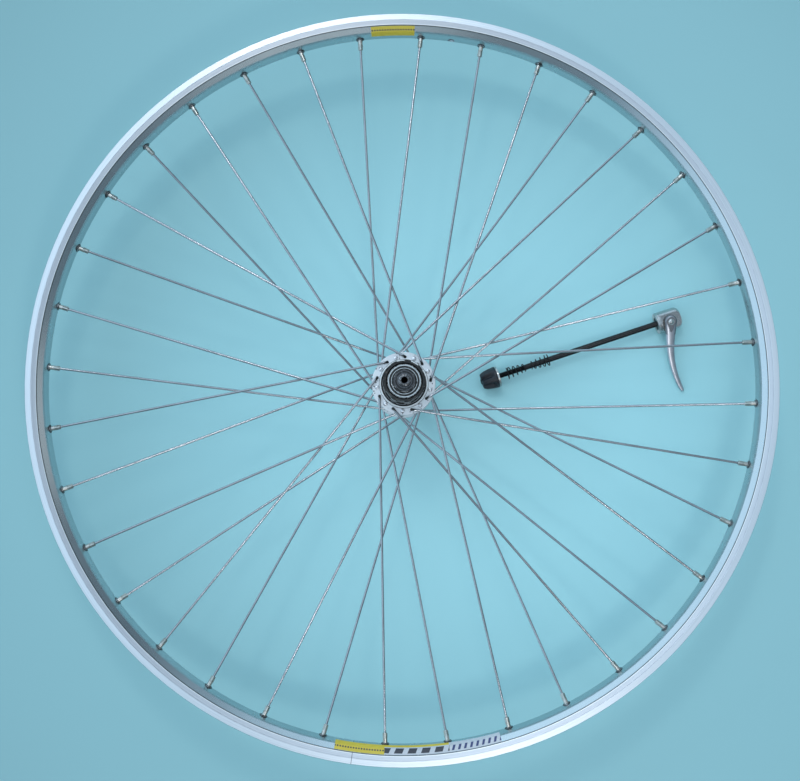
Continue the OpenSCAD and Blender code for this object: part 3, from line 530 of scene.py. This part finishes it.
def greasy_steel(name, bare, coverage, clean_rings=()):
    """Steel under black grease; coverage from 0 to 1 says how much of it is hidden.

    clean_rings are bands of the radius in mm that show bare metal through the grease.
    """
    shader = Shader(name, roughness=0.3)
    smear = shader.noise(1.0, detail=7, rough=0.7, vector=shader.around(6, 700, 500), twist=0.5)
    clots = shader.noise(300.0, detail=5, rough=0.65)
    edge = 0.62 - 0.3 * (1 - coverage)
    wet = shader.math("SUBTRACT", 1.0, shader.above(smear, edge, 0.12))
    radius, _, _ = shader.polar()
    for low, high in clean_rings:
        wiped = shader.math("MULTIPLY", shader.band(radius, low, high, 0.15), 0.85)
        wet = shader.math("SUBTRACT", wet, wiped, clamp=True)
    rusty = shader.above(shader.noise(170.0, detail=4, rough=0.6), 0.6, 0.06)
    metal = shader.mix(shader.math("MULTIPLY", rusty, 0.7), bare, (0.16, 0.07, 0.03))
    shader.feed("Base Color", shader.mix(wet, metal, GREASE))
    shader.feed("Metallic", shader.blend(wet, 1.0, 0.0))
    shader.feed("Roughness", shader.blend(wet, 0.32, shader.blend(clots, 0.16, 0.5)))
    shader.bump(shader.blend(0.5, smear, clots), 0.12 * MM)
    return shader.material


def bright_steel(name, colour, low, high, turned=True):
    """Plated or ground steel with turning marks and a light film of oil."""
    shader = Shader(name, roughness=low)
    marks = shader.noise(1.0, detail=5, rough=0.6, vector=shader.around(4, 4200, 3000))
    film = shader.noise(210.0, detail=5, rough=0.6)
    dark = tuple(0.45 * channel for channel in colour)
    shader.feed("Base Color", shader.ramp(film, [(0.28, dark), (0.5, colour), (0.85, colour)]))
    shader.feed("Roughness", shader.blend(film, high, low))
    shader.bump(marks if turned else film, 0.01 * MM)
    return shader.material


# Radii in mm of the dust cap's sunk web
CAP_WEB = (10.6, 12.1)


def dust_cap():
    """Pressed bright cap whose sunk web holds black grease, with a few glints left in it."""
    shader = Shader("cap_steel", roughness=0.2)
    radius, _, _ = shader.polar()
    smear = shader.noise(1.0, detail=6, rough=0.7, vector=shader.around(5, 900, 600), twist=0.4)
    web = shader.band(radius, *CAP_WEB, 0.25)
    caked = shader.math("MULTIPLY", web, shader.above(smear, 0.36, 0.1))
    rubbed = shader.math("MULTIPLY", shader.above(smear, 0.6, 0.08), 0.9)
    greasy = shader.math("MAXIMUM", caked, rubbed)
    shader.feed("Base Color", shader.mix(greasy, (0.82, 0.81, 0.79), GREASE))
    shader.feed("Metallic", shader.blend(greasy, 1.0, 0.0))
    shader.feed("Roughness", shader.blend(greasy, 0.16, 0.34))
    shader.bump(smear, 0.08 * MM)
    return shader.material


def seal_rubber():
    """Black rubber, dusty in patches."""
    shader = Shader("seal_rubber", metallic=0.0, roughness=0.6)
    dust = shader.noise(240.0, detail=5, rough=0.65)
    shader.feed("Base Color", shader.ramp(dust, [(0.35, 0.012), (0.75, (0.06, 0.055, 0.05))]))
    shader.feed("Roughness", shader.blend(dust, 0.45, 0.75))
    shader.bump(dust, 0.03 * MM)
    return shader.material


def black_enamel(name, shine):
    """Black coated steel with rubbed spots; shine is its lowest roughness."""
    shader = Shader(name, metallic=0.0, roughness=shine, Specular_IOR_Level=0.3)
    rubbed = shader.noise(150.0, detail=6, rough=0.7)
    bare = shader.above(rubbed, 0.68, 0.04)
    shader.feed("Base Color", shader.mix(bare, (0.008, 0.008, 0.009), (0.06, 0.056, 0.05)))
    shader.feed("Metallic", shader.blend(bare, 0.0, 0.8))
    shader.feed("Roughness", shader.blend(rubbed, shine, shine + 0.2))
    shader.bump(shader.noise(900.0, detail=3), 0.01 * MM)
    return shader.material


def nut_black():
    """Moulded nylon: fine pebble grain and a few pale scuffs."""
    shader = Shader("nut_black", metallic=0.0, roughness=0.42)
    grain = shader.noise(1900.0, detail=3)
    scuffs = shader.above(shader.noise(260.0, detail=7, rough=0.75, twist=1.2), 0.66, 0.05)
    shader.feed("Base Color", shader.mix(scuffs, (0.014, 0.015, 0.021), (0.07, 0.07, 0.08)))
    shader.feed("Roughness", shader.blend(grain, 0.34, 0.55))
    shader.bump(grain, 0.05 * MM)
    return shader.material


# Painted shade in the lever's recess: its reach round the pivot, and its least depth under the top face
RECESS_SHADE_REACH = 12 * MM
RECESS_SHADE_DEPTH = 0.35 * MM


def cast_silver(name, colour, low, high, top=None):
    """Polished alloy casting with fine scratches and a few dents of dirt.

    top is the height of a face square to the piece's own Z, under which painted shade darkens the piece near that
    axis.
    """
    shader = Shader(name, roughness=low)
    x, y, z = shader.split()
    scratch = shader.noise(1.0, detail=6, rough=0.7, vector=shader.join(
        shader.math("MULTIPLY", x, 350.0), shader.math("MULTIPLY", y, 3800.0),
        shader.math("MULTIPLY", z, 3800.0)))
    cloud = shader.noise(120.0, detail=4)
    pits = shader.math("MULTIPLY", shader.specks(650.0, 0.16),
                       shader.above(shader.noise(220.0, detail=3), 0.55, 0.08))
    polished = shader.ramp(cloud, [(0.3, tuple(0.8 * c for c in colour)), (0.7, colour)])
    if top is not None:
        # painted shade: darker below the top face near the pivot, in the recess and on the sides there
        apart = shader.node("ShaderNodeVectorMath", operation="DISTANCE")
        shader.plug(apart.inputs[0], shader.object_place)
        shader.plug(apart.inputs[1], (0, 0, top))
        near = shader.math("LESS_THAN", apart.outputs["Value"], RECESS_SHADE_REACH)
        under = shader.math("LESS_THAN", z, top - RECESS_SHADE_DEPTH)
        painted_recess_shade = shader.math("MULTIPLY", shader.math("MULTIPLY", near, under), 0.6)
        polished = shader.mix(painted_recess_shade, polished, (0.09, 0.088, 0.085))
    shader.feed("Base Color", shader.mix(pits, polished, (0.1, 0.1, 0.1)))
    shader.feed("Roughness", shader.blend(scratch, low, high))
    shader.bump(shader.blend(0.3, scratch, cloud), 0.012 * MM)
    return shader.material


def make_materials():
    """One material for each of the record's slots."""
    return {
        "rim_alloy": rim_alloy(),
        "label_film": label_film(),
        "spoke_steel": spoke_steel(),
        "nipple_nickel": nipple_nickel(),
        "eyelet_steel": eyelet_steel(),
        "hub_alloy": hub_alloy(),
        "freehub_steel": greasy_steel("freehub_steel", (0.16, 0.13, 0.11), 0.93),
        "axle_steel": greasy_steel("axle_steel", (0.3, 0.3, 0.31), 0.62),
        "dark_steel": greasy_steel("dark_steel", (0.2, 0.2, 0.215), 0.9,
                                   clean_rings=((5.5, 6.0), (7.7, 8.05))),
        "hard_steel": greasy_steel("hard_steel", (0.5, 0.49, 0.47), 0.5),
        "cap_steel": dust_cap(),
        "ring_steel": bright_steel("ring_steel", (0.6, 0.6, 0.58), 0.2, 0.42, turned=False),
        "spring_steel": bright_steel("spring_steel", (0.55, 0.55, 0.56), 0.25, 0.45),
        "ball_steel": bright_steel("ball_steel", (0.8, 0.8, 0.8), 0.06, 0.2, turned=False),
        "seal_rubber": seal_rubber(),
        "bush_plastic": nut_black(),
        "rod_black": black_enamel("rod_black", 0.16),
        "spring_black": black_enamel("spring_black", 0.32),
        "nut_black": nut_black(),
        "housing_alloy": cast_silver("housing_alloy", (0.56, 0.56, 0.55), 0.14, 0.34),
        "lever_alloy": cast_silver("lever_alloy", (0.62, 0.62, 0.66), 0.22, 0.42,
                                   top=LEVER_TOP * MM),
    }


# ---------------------------------------------------------------- mesh building


def add_piece(name, verts, faces, slot_name, body, *nodes, smooth_angle=38):
    """A piece made of plain vertices and faces, which rides on a body and stands for nodes."""
    mesh = bpy.data.meshes.new(name)
    mesh.from_pydata([tuple(v) for v in verts], [], faces)
    return finish_piece(name, mesh, slot_name, body, *nodes, smooth_angle=smooth_angle)


def finish_piece(name, mesh, slot_name, body, *nodes, smooth_angle=38, place=None):
    """Smooths a mesh and makes it a piece; place turns its own frame into the part's."""
    tidy = bmesh.new()
    tidy.from_mesh(mesh)
    bmesh.ops.recalc_face_normals(tidy, faces=tidy.faces)
    tidy.to_mesh(mesh)
    tidy.free()
    mesh.shade_smooth()
    mesh.set_sharp_from_angle(angle=math.radians(smooth_angle))
    mesh.materials.clear()
    mesh.materials.append(MATERIALS[slot_name])
    piece = bpy.data.objects.new(name, mesh)
    bpy.context.scene.collection.objects.link(piece)
    if place is not None:
        piece.matrix_world = place
    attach(piece, body)
    if nodes:
        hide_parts(*nodes)
    return piece


def skin(rings, first=0, capped=True):
    """Faces between rings of equal size, whose vertices are numbered from first."""
    count = len(rings[0])
    faces = []
    for i in range(len(rings) - 1):
        for k in range(count):
            a = first + i * count + k
            b = first + i * count + (k + 1) % count
            faces.append((a, b, b + count, a + count))
    if capped:
        end = first + (len(rings) - 1) * count
        faces.append(tuple(range(first + count - 1, first - 1, -1)))
        faces.append(tuple(range(end, end + count)))
    return faces


def ring(centre, across, up, radius, sides):
    """Round ring of points in the plane of two unit vectors."""
    return [centre + radius * (math.cos(TAU * k / sides) * across + math.sin(TAU * k / sides) * up)
            for k in range(sides)]


def lathe_rings(profile, steps):
    """Rings about the Z axis through points of (radius, height), in millimetres."""
    return [[Vector((r * math.cos(TAU * k / steps), r * math.sin(TAU * k / steps), z)) * MM
             for k in range(steps)] for r, z in profile]


def flatten(rings):
    """All points of the rings in one list."""
    return [vertex for one in rings for vertex in one]


# ---------------------------------------------------------------- spokes

# Sizes in millimetres. SPOKE_LEAD is the angle in degrees from a spoke's hole to its nipple, and
# CROSSING_LEAD the angle to its last crossing
NIPPLE_R = 300.2
SPOKE_LEAD = 60.0
CROSSING_LEAD = SPOKE_LEAD - 10
WIRE_R = 1.0
ELBOW_R = 1.9
IN_HOLE_SHIFT = 0.15
IN_NIPPLE = 2
# How far a spoke is pushed aside where it crosses its last neighbour, and half of that bend's length
LACE = 1.1
LACE_SOFT = 3.0
# Drive side 1 and non-drive side -1: heights of each flange's faces, and of the elbows past them
FLANGE_FACES = {1: (18.4, 21.6), -1: (35.4, 38.6)}
RISE_OUT = {1: 1.85, -1: 2.25}
RISE_IN = 1.15
# (height over the flange's face, radius) of a head, down to the wire
HEAD_PROFILE = ((1.2, 0.35), (1.16, 0.9), (1.0, 1.4), (0.72, 1.74), (0.36, 1.9), (0.1, 1.86),
                (0.02, 1.7), (0.01, WIRE_R))
SPOKE_SIDES = 14
ELBOW_STEPS = 10
LACE_STEPS = 6


def polar_point(radius, angle):
    return radius * on_sphere(angle, 0, 1)


def spoke_rings(side, angle, q):
    """Rings of one spoke. q is 1 where the elbow is outside its flange and -1 where it is inside."""
    start = polar_point(HOLE_R, angle)
    end = polar_point(NIPPLE_R, angle + q * SPOKE_LEAD)
    span = (end - start).length
    along = (end - start) / span
    out = Vector((0, 0, side))
    inner, outer = FLANGE_FACES[side]
    top_out, top_in = outer + RISE_OUT[side], inner - RISE_IN
    top, seat = (top_out, inner) if q > 0 else (top_in, outer)
    foot = start.cross(along).length
    crossing_r = foot / math.cos(math.acos(foot / HOLE_R) + math.radians(CROSSING_LEAD))
    cross_s = math.sqrt(crossing_r ** 2 - foot ** 2) - math.sqrt(HOLE_R ** 2 - foot ** 2)
    cross_z = (top_out + top_in) / 2 * (1 - cross_s / span) - q * LACE
    first_tilt = math.atan2(cross_z - top, cross_s - ELBOW_R)
    second_tilt = math.atan2(-cross_z, span - cross_s)
    turn = math.pi / 2 - q * first_tilt
    shift = 0.0 if q > 0 else -IN_HOLE_SHIFT

    def at(s, z, tilt, radius):
        up = out * math.cos(tilt) - along * math.sin(tilt)
        across = up.cross(along * math.cos(tilt) + out * math.sin(tilt))
        return ring((start + along * s + out * z) * MM, across, up, radius * MM, SPOKE_SIDES)

    rings = [at(shift, seat - q * height, q * math.pi / 2, radius) for height, radius in HEAD_PROFILE]
    for k in range(ELBOW_STEPS + 1):
        bend = turn * k / ELBOW_STEPS
        rings.append(at(shift + ELBOW_R * (1 - math.cos(bend)),
                        top - q * ELBOW_R * (1 - math.sin(bend)),
                        q * (math.pi / 2 - bend), WIRE_R))
    for k in range(LACE_STEPS + 1):
        t = k / LACE_STEPS
        near = cross_z - LACE_SOFT * math.tan(first_tilt)
        far = cross_z + LACE_SOFT * math.tan(second_tilt)
        z = (1 - t) ** 2 * near + 2 * t * (1 - t) * cross_z + t ** 2 * far
        rings.append(at(cross_s + LACE_SOFT * (2 * t - 1), z,
                        first_tilt + (second_tilt - first_tilt) * t, WIRE_R))
    rings.append(at(span + IN_NIPPLE * math.cos(second_tilt), IN_NIPPLE * math.sin(second_tilt),
                    second_tilt, WIRE_R))
    return rings


def add_spokes():
    """Four families of spokes: on each flange one with the elbow outside and one with it inside."""
    families = (
        ("drive_elbow_out", 1, FIRST_NIPPLE, 1),
        ("drive_elbow_in", 1, FIRST_NIPPLE + SPOKE_STEP / 2, -1),
        ("nondrive_elbow_out", -1, FIRST_NIPPLE + SPOKE_STEP / 4, 1),
        ("nondrive_elbow_in", -1, FIRST_NIPPLE + SPOKE_STEP * 3 / 4, -1))
    for name, side, first, q in families:
        verts, faces = [], []
        for i in range(SPOKES_A_FAMILY):
            rings = spoke_rings(side, first + SPOKE_STEP * i, q)
            faces += skin(rings, first=len(verts))
            verts += flatten(rings)
        add_piece(f"wires_{name}", verts, faces, "spoke_steel", "wheel", f"spokes_{name}",
                  smooth_angle=50)


# ---------------------------------------------------------------- threads

THREAD_STEPS = 48
ROWS_A_PITCH = 8


def climb(value, start, length):
    """0 up to start, then rising evenly to 1 over that length."""
    return min(1.0, max(0.0, (value - start) / length))


def thread_profile(turn):
    """Depth from 0 at the crest to 1 at the root, for a place on the thread counted in turns."""
    return climb(abs((turn % 1.0) * 2 - 1), 0.12, 0.7)


def threaded_bar(z0, z1, radius, depth, pitch):
    """Rings of a screwed bar from z0 to z1, whose thread runs out at both ends."""
    rows = max(2, round((z1 - z0) / pitch * ROWS_A_PITCH))
    rings = []
    for i in range(rows + 1):
        z = z0 + (z1 - z0) * i / rows
        fade = min(1.0, (z - z0) / pitch, (z1 - z) / pitch)
        row = []
        for k in range(THREAD_STEPS):
            part = k / THREAD_STEPS
            r = radius - depth * fade * thread_profile(z / pitch - part)
            row.append(Vector((r * math.cos(TAU * part), r * math.sin(TAU * part), z)) * MM)
        rings.append(row)
    return rings


def add_axle():
    """Axle with its rolled thread outside the bearings, and its open bore."""
    low, high = (corner[2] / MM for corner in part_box("axle"))
    radius, bore, chamfer, bore_edge = 5.0, 2.6, 0.7, 0.3
    thread_from, end_gap, depth, pitch = 56.0, 0.5, 0.55, 1.0
    rings = lathe_rings([(bore, low + bore_edge), (bore + bore_edge, low),
                         (radius - chamfer, low)], THREAD_STEPS)
    rings += threaded_bar(low + end_gap, -thread_from, radius, depth, pitch)
    rings += threaded_bar(thread_from, high - end_gap, radius, depth, pitch)
    rings += lathe_rings([(radius - chamfer, high), (bore + bore_edge, high),
                          (bore, high - bore_edge), (bore, low + bore_edge)], THREAD_STEPS)
    add_piece("axle_screwed", flatten(rings), skin(rings, capped=False), "axle_steel",
              "axle", "axle")


# ---------------------------------------------------------------- skewer

SKEWER_X = Vector(JOINT["nut_turn"]["axis"]).normalized()
SKEWER_Z = Vector(JOINT["lever_swing"]["axis"]).normalized()
SKEWER_Y = SKEWER_Z.cross(SKEWER_X)
NUT_FACE = Vector(JOINT["nut_turn"]["pos_m"])
PIVOT_X = (Vector(JOINT["lever_swing"]["pos_m"]) - NUT_FACE).dot(SKEWER_X) / MM
# Length between the two clamping faces: the housing's face lies 11 mm before the pivot
GRIP_L = PIVOT_X - 11.0
SKEWER = Matrix((
    (SKEWER_X.x, SKEWER_Y.x, SKEWER_Z.x, NUT_FACE.x),
    (SKEWER_X.y, SKEWER_Y.y, SKEWER_Z.y, NUT_FACE.y),
    (SKEWER_X.z, SKEWER_Y.z, SKEWER_Z.z, NUT_FACE.z),
    (0, 0, 0, 1)))
# Turns a piece made along Z so that it lies along the skewer's X
ALONG_ROD = SKEWER @ Matrix.Rotation(math.pi / 2, 4, "Y")


def mesh_of(name, rings):
    """Mesh whose faces join each ring to the next."""
    mesh = bpy.data.meshes.new(name)
    mesh.from_pydata([tuple(v) for v in flatten(rings)], [], skin(rings))
    return mesh


def cut(mesh, cutters):
    """The mesh with each cutter mesh taken out of it."""
    target = bpy.data.objects.new("cut_target", mesh)
    bpy.context.scene.collection.objects.link(target)
    tools = []
    for cutter in cutters:
        tool = bpy.data.objects.new("cut_tool", cutter)
        bpy.context.scene.collection.objects.link(tool)
        modifier = target.modifiers.new("cut", "BOOLEAN")
        modifier.operation = "DIFFERENCE"
        modifier.solver = "EXACT"
        modifier.object = tool
        tools.append(tool)
    graph = bpy.context.evaluated_depsgraph_get()
    result = bpy.data.meshes.new_from_object(target.evaluated_get(graph))
    for made in [target, *tools]:
        bpy.data.objects.remove(made)
    return result


def box_mesh(low, high):
    """Box between two corners in millimetres."""
    corners = [Vector((x, y, z)) * MM for x in (low[0], high[0]) for y in (low[1], high[1])
               for z in (low[2], high[2])]
    mesh = bpy.data.meshes.new("cutter")
    mesh.from_pydata([tuple(c) for c in corners], [], [
        (0, 1, 3, 2), (4, 6, 7, 5), (0, 4, 5, 1), (2, 3, 7, 6), (0, 2, 6, 4), (1, 5, 7, 3)])
    return mesh


def add_rod():
    """Black rod with its rolled thread, and the head whose eye the cam works in."""
    rod_r, tip_x, thread_end = 2.5, -11.0, 24.0
    thread_depth, thread_pitch = 0.42, 0.8
    head_r, head_x0, head_x1 = 5.2, GRIP_L + 3.3, GRIP_L + 17.2
    eye_half_w, eye_x0, eye_x1 = 3.1, PIVOT_X - 4.4, PIVOT_X + 3.4
    through = 7.0
    rings = lathe_rings([(rod_r - 0.75, tip_x)], THREAD_STEPS)
    rings += threaded_bar(tip_x + 0.3, thread_end, rod_r, thread_depth, thread_pitch)
    rings += lathe_rings([
        (rod_r, thread_end + 0.3), (rod_r, head_x0 - 0.8), (rod_r + 0.3, head_x0 - 0.2),
        (rod_r + 0.9, head_x0), (head_r - 0.5, head_x0), (head_r, head_x0 + 0.5),
        (head_r, head_x1 - 0.6), (head_r - 0.6, head_x1)], THREAD_STEPS)
    eye = box_mesh((-through, -eye_half_w, eye_x0), (through, eye_half_w, eye_x1))
    mesh = cut(mesh_of("rod_with_eye", rings), [eye])
    finish_piece("rod_with_eye", mesh, "rod_black", "skewer", "skewer_rod", place=ALONG_ROD)


# Springs: lengths in millimetres, steps to a turn, and corners to the wire's section
SPRING_TURNS = 4.5
SPRING_LENGTH = 16.0
SPRING_STEPS = 28
SPRING_NUT_X = 8.4
SPRING_LEVER_X = 46.6
SPRING_BIG_R = 5.0
SPRING_SMALL_R = 3.25
SPRING_WIRE_R = 0.5
SPRING_SIDES = 10


def add_spring(name, x0, direction, node):
    """Volute spring: it lies flat for half a turn at its big end, then narrows onto the rod."""
    count = round(SPRING_TURNS * SPRING_STEPS)

    def coil(i):
        rise = climb(i / count, 0.1, 0.84)
        radius = SPRING_BIG_R + (SPRING_SMALL_R - SPRING_BIG_R) * rise
        angle = TAU * i / SPRING_STEPS
        return Vector((x0 + direction * SPRING_LENGTH * rise, radius * math.cos(angle),
                       radius * math.sin(angle)))

    rings = []
    for i in range(count + 1):
        heading = (coil(i + 0.5) - coil(i - 0.5)).normalized()
        centre = coil(i)
        outward = Vector((0, centre.y, centre.z))
        outward = (outward - heading * heading.dot(outward)).normalized()
        ends = min(i, count - i)
        wire = SPRING_WIRE_R * (0.75 if ends == 0 else 1.0)
        rings.append(ring(centre * MM, outward.cross(heading), outward, wire * MM, SPRING_SIDES))
    finish_piece(name, mesh_of(name, rings), "spring_black", node, node, place=SKEWER,
                 smooth_angle=60)


CORNER_STEPS = 5


def rounded(profile, radius):
    """The profile with each of its inner corners turned into an arc of about that radius."""
    points = [Vector(p) for p in profile]
    made = [points[0]]
    for before, corner, after in zip(points, points[1:], points[2:]):
        reach = min(radius, (corner - before).length * 0.45, (after - corner).length * 0.45)
        start = corner + (before - corner).normalized() * reach
        end = corner + (after - corner).normalized() * reach
        for k in range(CORNER_STEPS + 1):
            t = k / CORNER_STEPS
            made.append((1 - t) ** 2 * start + 2 * t * (1 - t) * corner + t ** 2 * end)
    made.append(points[-1])
    return [tuple(p) for p in made]


def add_nut():
    """Moulded adjusting nut: a cap with six thumb scallops, a round flange and a small nose."""
    back, tip, cavity, bore_r = -1.6, -15.9, -13.4, 2.62
    steps, grips, grip_depth = 144, 6, 2.5
    outside = rounded([(9.2, back), (9.5, back - 0.3), (9.5, back - 2.1), (9.1, back - 6.0),
                       (8.2, tip + 3.2), (6.6, tip), (2.6, tip), (2.35, tip - 0.5),
                       (1.8, tip - 0.9), (0.3, tip - 0.9)], 0.9)
    inside = [(0.3, cavity), (bore_r, cavity), (bore_r, back - 0.5), (3.1, back)]
    rings = lathe_rings(inside, steps)
    for radius, x in outside:
        into = climb(-x, 2.4 - back, 2.6) * climb(radius, 5.2, 1.6)
        row = []
        for k in range(steps):
            angle = TAU * k / steps
            wave = 0.5 - 0.5 * math.cos(grips * angle)
            scallop = grip_depth * into * climb(wave, 0.3, 0.7) ** 1.3
            r = (radius - scallop) * MM
            row.append(Vector((r * math.cos(angle), r * math.sin(angle), x * MM)))
        rings.append(row)
    finish_piece("nut_cap", mesh_of("nut_cap", rings), "nut_black", "nut", "adjusting_nut",
                 place=ALONG_ROD)


# The lever's middle line: its heading at the pivot, a straight length, then an arc to the tip
LEVER_ANGLE = -106.5
LEVER_STRAIGHT = 17.0
LEVER_ARC_R = 93.3
LEVER_ARC = 29.4
LEVER_LENGTH = LEVER_STRAIGHT + math.radians(LEVER_ARC) * LEVER_ARC_R
LEVER_HEAD_R = 5.7
LEVER_FOOT = LEVER_LOW + 0.1
LEVER_TAPER = 1.5
LEVER_SIDES = 32
LEVER_SQUARENESS = 3.2
# The recess round the cam shaft's end, drop-shaped, and the hole for that shaft
RECESS_R = 4.2
RECESS_DEPTH = 0.9
RECESS_REACH = 8.2
RECESS_TIP_R = 1.0
RECESS_STEPS = 40
SHAFT_HOLE_R = 2.87


def lever_middle(s):
    """Place and heading of the lever's middle line at the distance s from its pivot."""
    start = math.radians(LEVER_ANGLE)
    if s <= LEVER_STRAIGHT:
        return s * math.cos(start), s * math.sin(start), start
    heading = start + (s - LEVER_STRAIGHT) / LEVER_ARC_R
    return (LEVER_STRAIGHT * math.cos(start) + LEVER_ARC_R * (math.sin(heading) - math.sin(start)),
            LEVER_STRAIGHT * math.sin(start) - LEVER_ARC_R * (math.cos(heading) - math.cos(start)),
            heading)


def lever_width(s):
    """Width at the distance s from the pivot: broad at the head, and drawn in at the tip."""
    t = max(0.0, s / LEVER_LENGTH)
    return 3.9 + 3.9 * (1 - t) + 3.6 * (1 - t) ** 4 - 1.3 * climb(t, 0.93, 0.07)


def lever_section(s, width, low, high):
    """One rounded section of the lever, square to its middle line."""
    x, y, heading = lever_middle(s)
    across = Vector((-math.sin(heading), math.cos(heading), 0))
    middle = Vector((x, y, (low + high) / 2))
    points = []
    for k in range(LEVER_SIDES):
        angle = TAU * k / LEVER_SIDES
        wide, tall = (math.copysign(abs(part) ** (2 / LEVER_SQUARENESS), part) * size / 2
                      for part, size in ((math.cos(angle), width), (math.sin(angle), high - low)))
        points.append((middle + across * wide + Vector((0, 0, tall))) * MM)
    return points


def recess_rings(low, high):
    """Closed drop shape round the pivot that narrows along the lever."""
    start = math.radians(LEVER_ANGLE)
    lean = math.acos((RECESS_R - RECESS_TIP_R) / RECESS_REACH)
    outline = []
    for centre, r, a0, a1 in ((0.0, RECESS_R, lean, TAU - lean),
                              (RECESS_REACH, RECESS_TIP_R, -lean, lean)):
        for k in range(RECESS_STEPS + 1):
            a = start + a0 + (a1 - a0) * k / RECESS_STEPS
            outline.append((centre * math.cos(start) + r * math.cos(a),
                            centre * math.sin(start) + r * math.sin(a)))
    return [[Vector((x, y, z)) * MM for x, y in outline] for z in (low, high)]


def add_lever():
    """Curved lever with rounded edges, and the drop-shaped recess round the cam shaft's end."""
    rings = []
    head_steps, blade_steps, hole_steps = 10, 64, 48
    for k in range(1, head_steps):
        phi = math.pi / 2 * k / head_steps
        fall = 1 - math.sin(phi) ** 0.35
        rings.append(lever_section(-LEVER_HEAD_R * math.cos(phi), 2 * LEVER_HEAD_R * math.sin(phi),
                                   LEVER_LOW + 0.6 * fall, LEVER_TOP - 0.9 * fall))
    for i in range(blade_steps + 1):
        t = i / blade_steps
        rings.append(lever_section(LEVER_LENGTH * t, lever_width(LEVER_LENGTH * t),
                                   LEVER_FOOT, LEVER_TOP - LEVER_TAPER * climb(t, 0.1, 0.9)))
    for shrink, beyond in ((0.85, 0.35), (0.5, 0.7)):
        draw_in = 0.8 * (1 - shrink)
        rings.append(lever_section(LEVER_LENGTH + beyond, lever_width(LEVER_LENGTH) * shrink,
                                   LEVER_FOOT + draw_in, LEVER_TOP - LEVER_TAPER - draw_in))
    recess = mesh_of("cutter", recess_rings(LEVER_TOP - RECESS_DEPTH, LEVER_TOP + 2))
    hole = mesh_of("cutter", lathe_rings([(SHAFT_HOLE_R, LEVER_LOW - 2.6),
                                          (SHAFT_HOLE_R, LEVER_TOP + 8.4)], hole_steps))
    mesh = cut(mesh_of("lever_blade", rings), [recess, hole])
    place = SKEWER @ Matrix.Translation((PIVOT_X * MM, 0, 0))
    finish_piece("lever_blade", mesh, "lever_alloy", "lever", "lever", place=place)


# ---------------------------------------------------------------- carried-over CAD nodes


def paint_cad_nodes():
    """Gives every CAD node the material of its slot in the record."""
    for entry in frame["record"]["subparts"]:
        mesh = frame["nodes"][entry["node"]].data
        mesh.materials.clear()
        mesh.materials.append(MATERIALS[entry["material_slot"]])


# ---------------------------------------------------------------- the scene

bpy.context.scene.view_settings.view_transform = "Standard"
add_camera()
MATERIALS = make_materials()
add_floor()
add_world()
add_area_light("key", 104, 58, 2.2, (0.3, 0.3), 3.6)
add_area_light("glint", 287, 60, 2.2, (0.3, 0.3), 3.5)
add_area_light("fill", -75, 48, 2.4, (1.6, 1.2), 2.5, tint=(0.92, 0.97, 1.0))
add_area_light("side", 10, 35, 2.4, (0.8, 1.2), 1.5)
paint_cad_nodes()
add_spokes()
add_axle()
add_rod()
add_spring("volute_nut_side", SPRING_NUT_X, 1, "spring_nut_side")
add_spring("volute_lever_side", SPRING_LEVER_X, -1, "spring_lever_side")
add_nut()
add_lever()
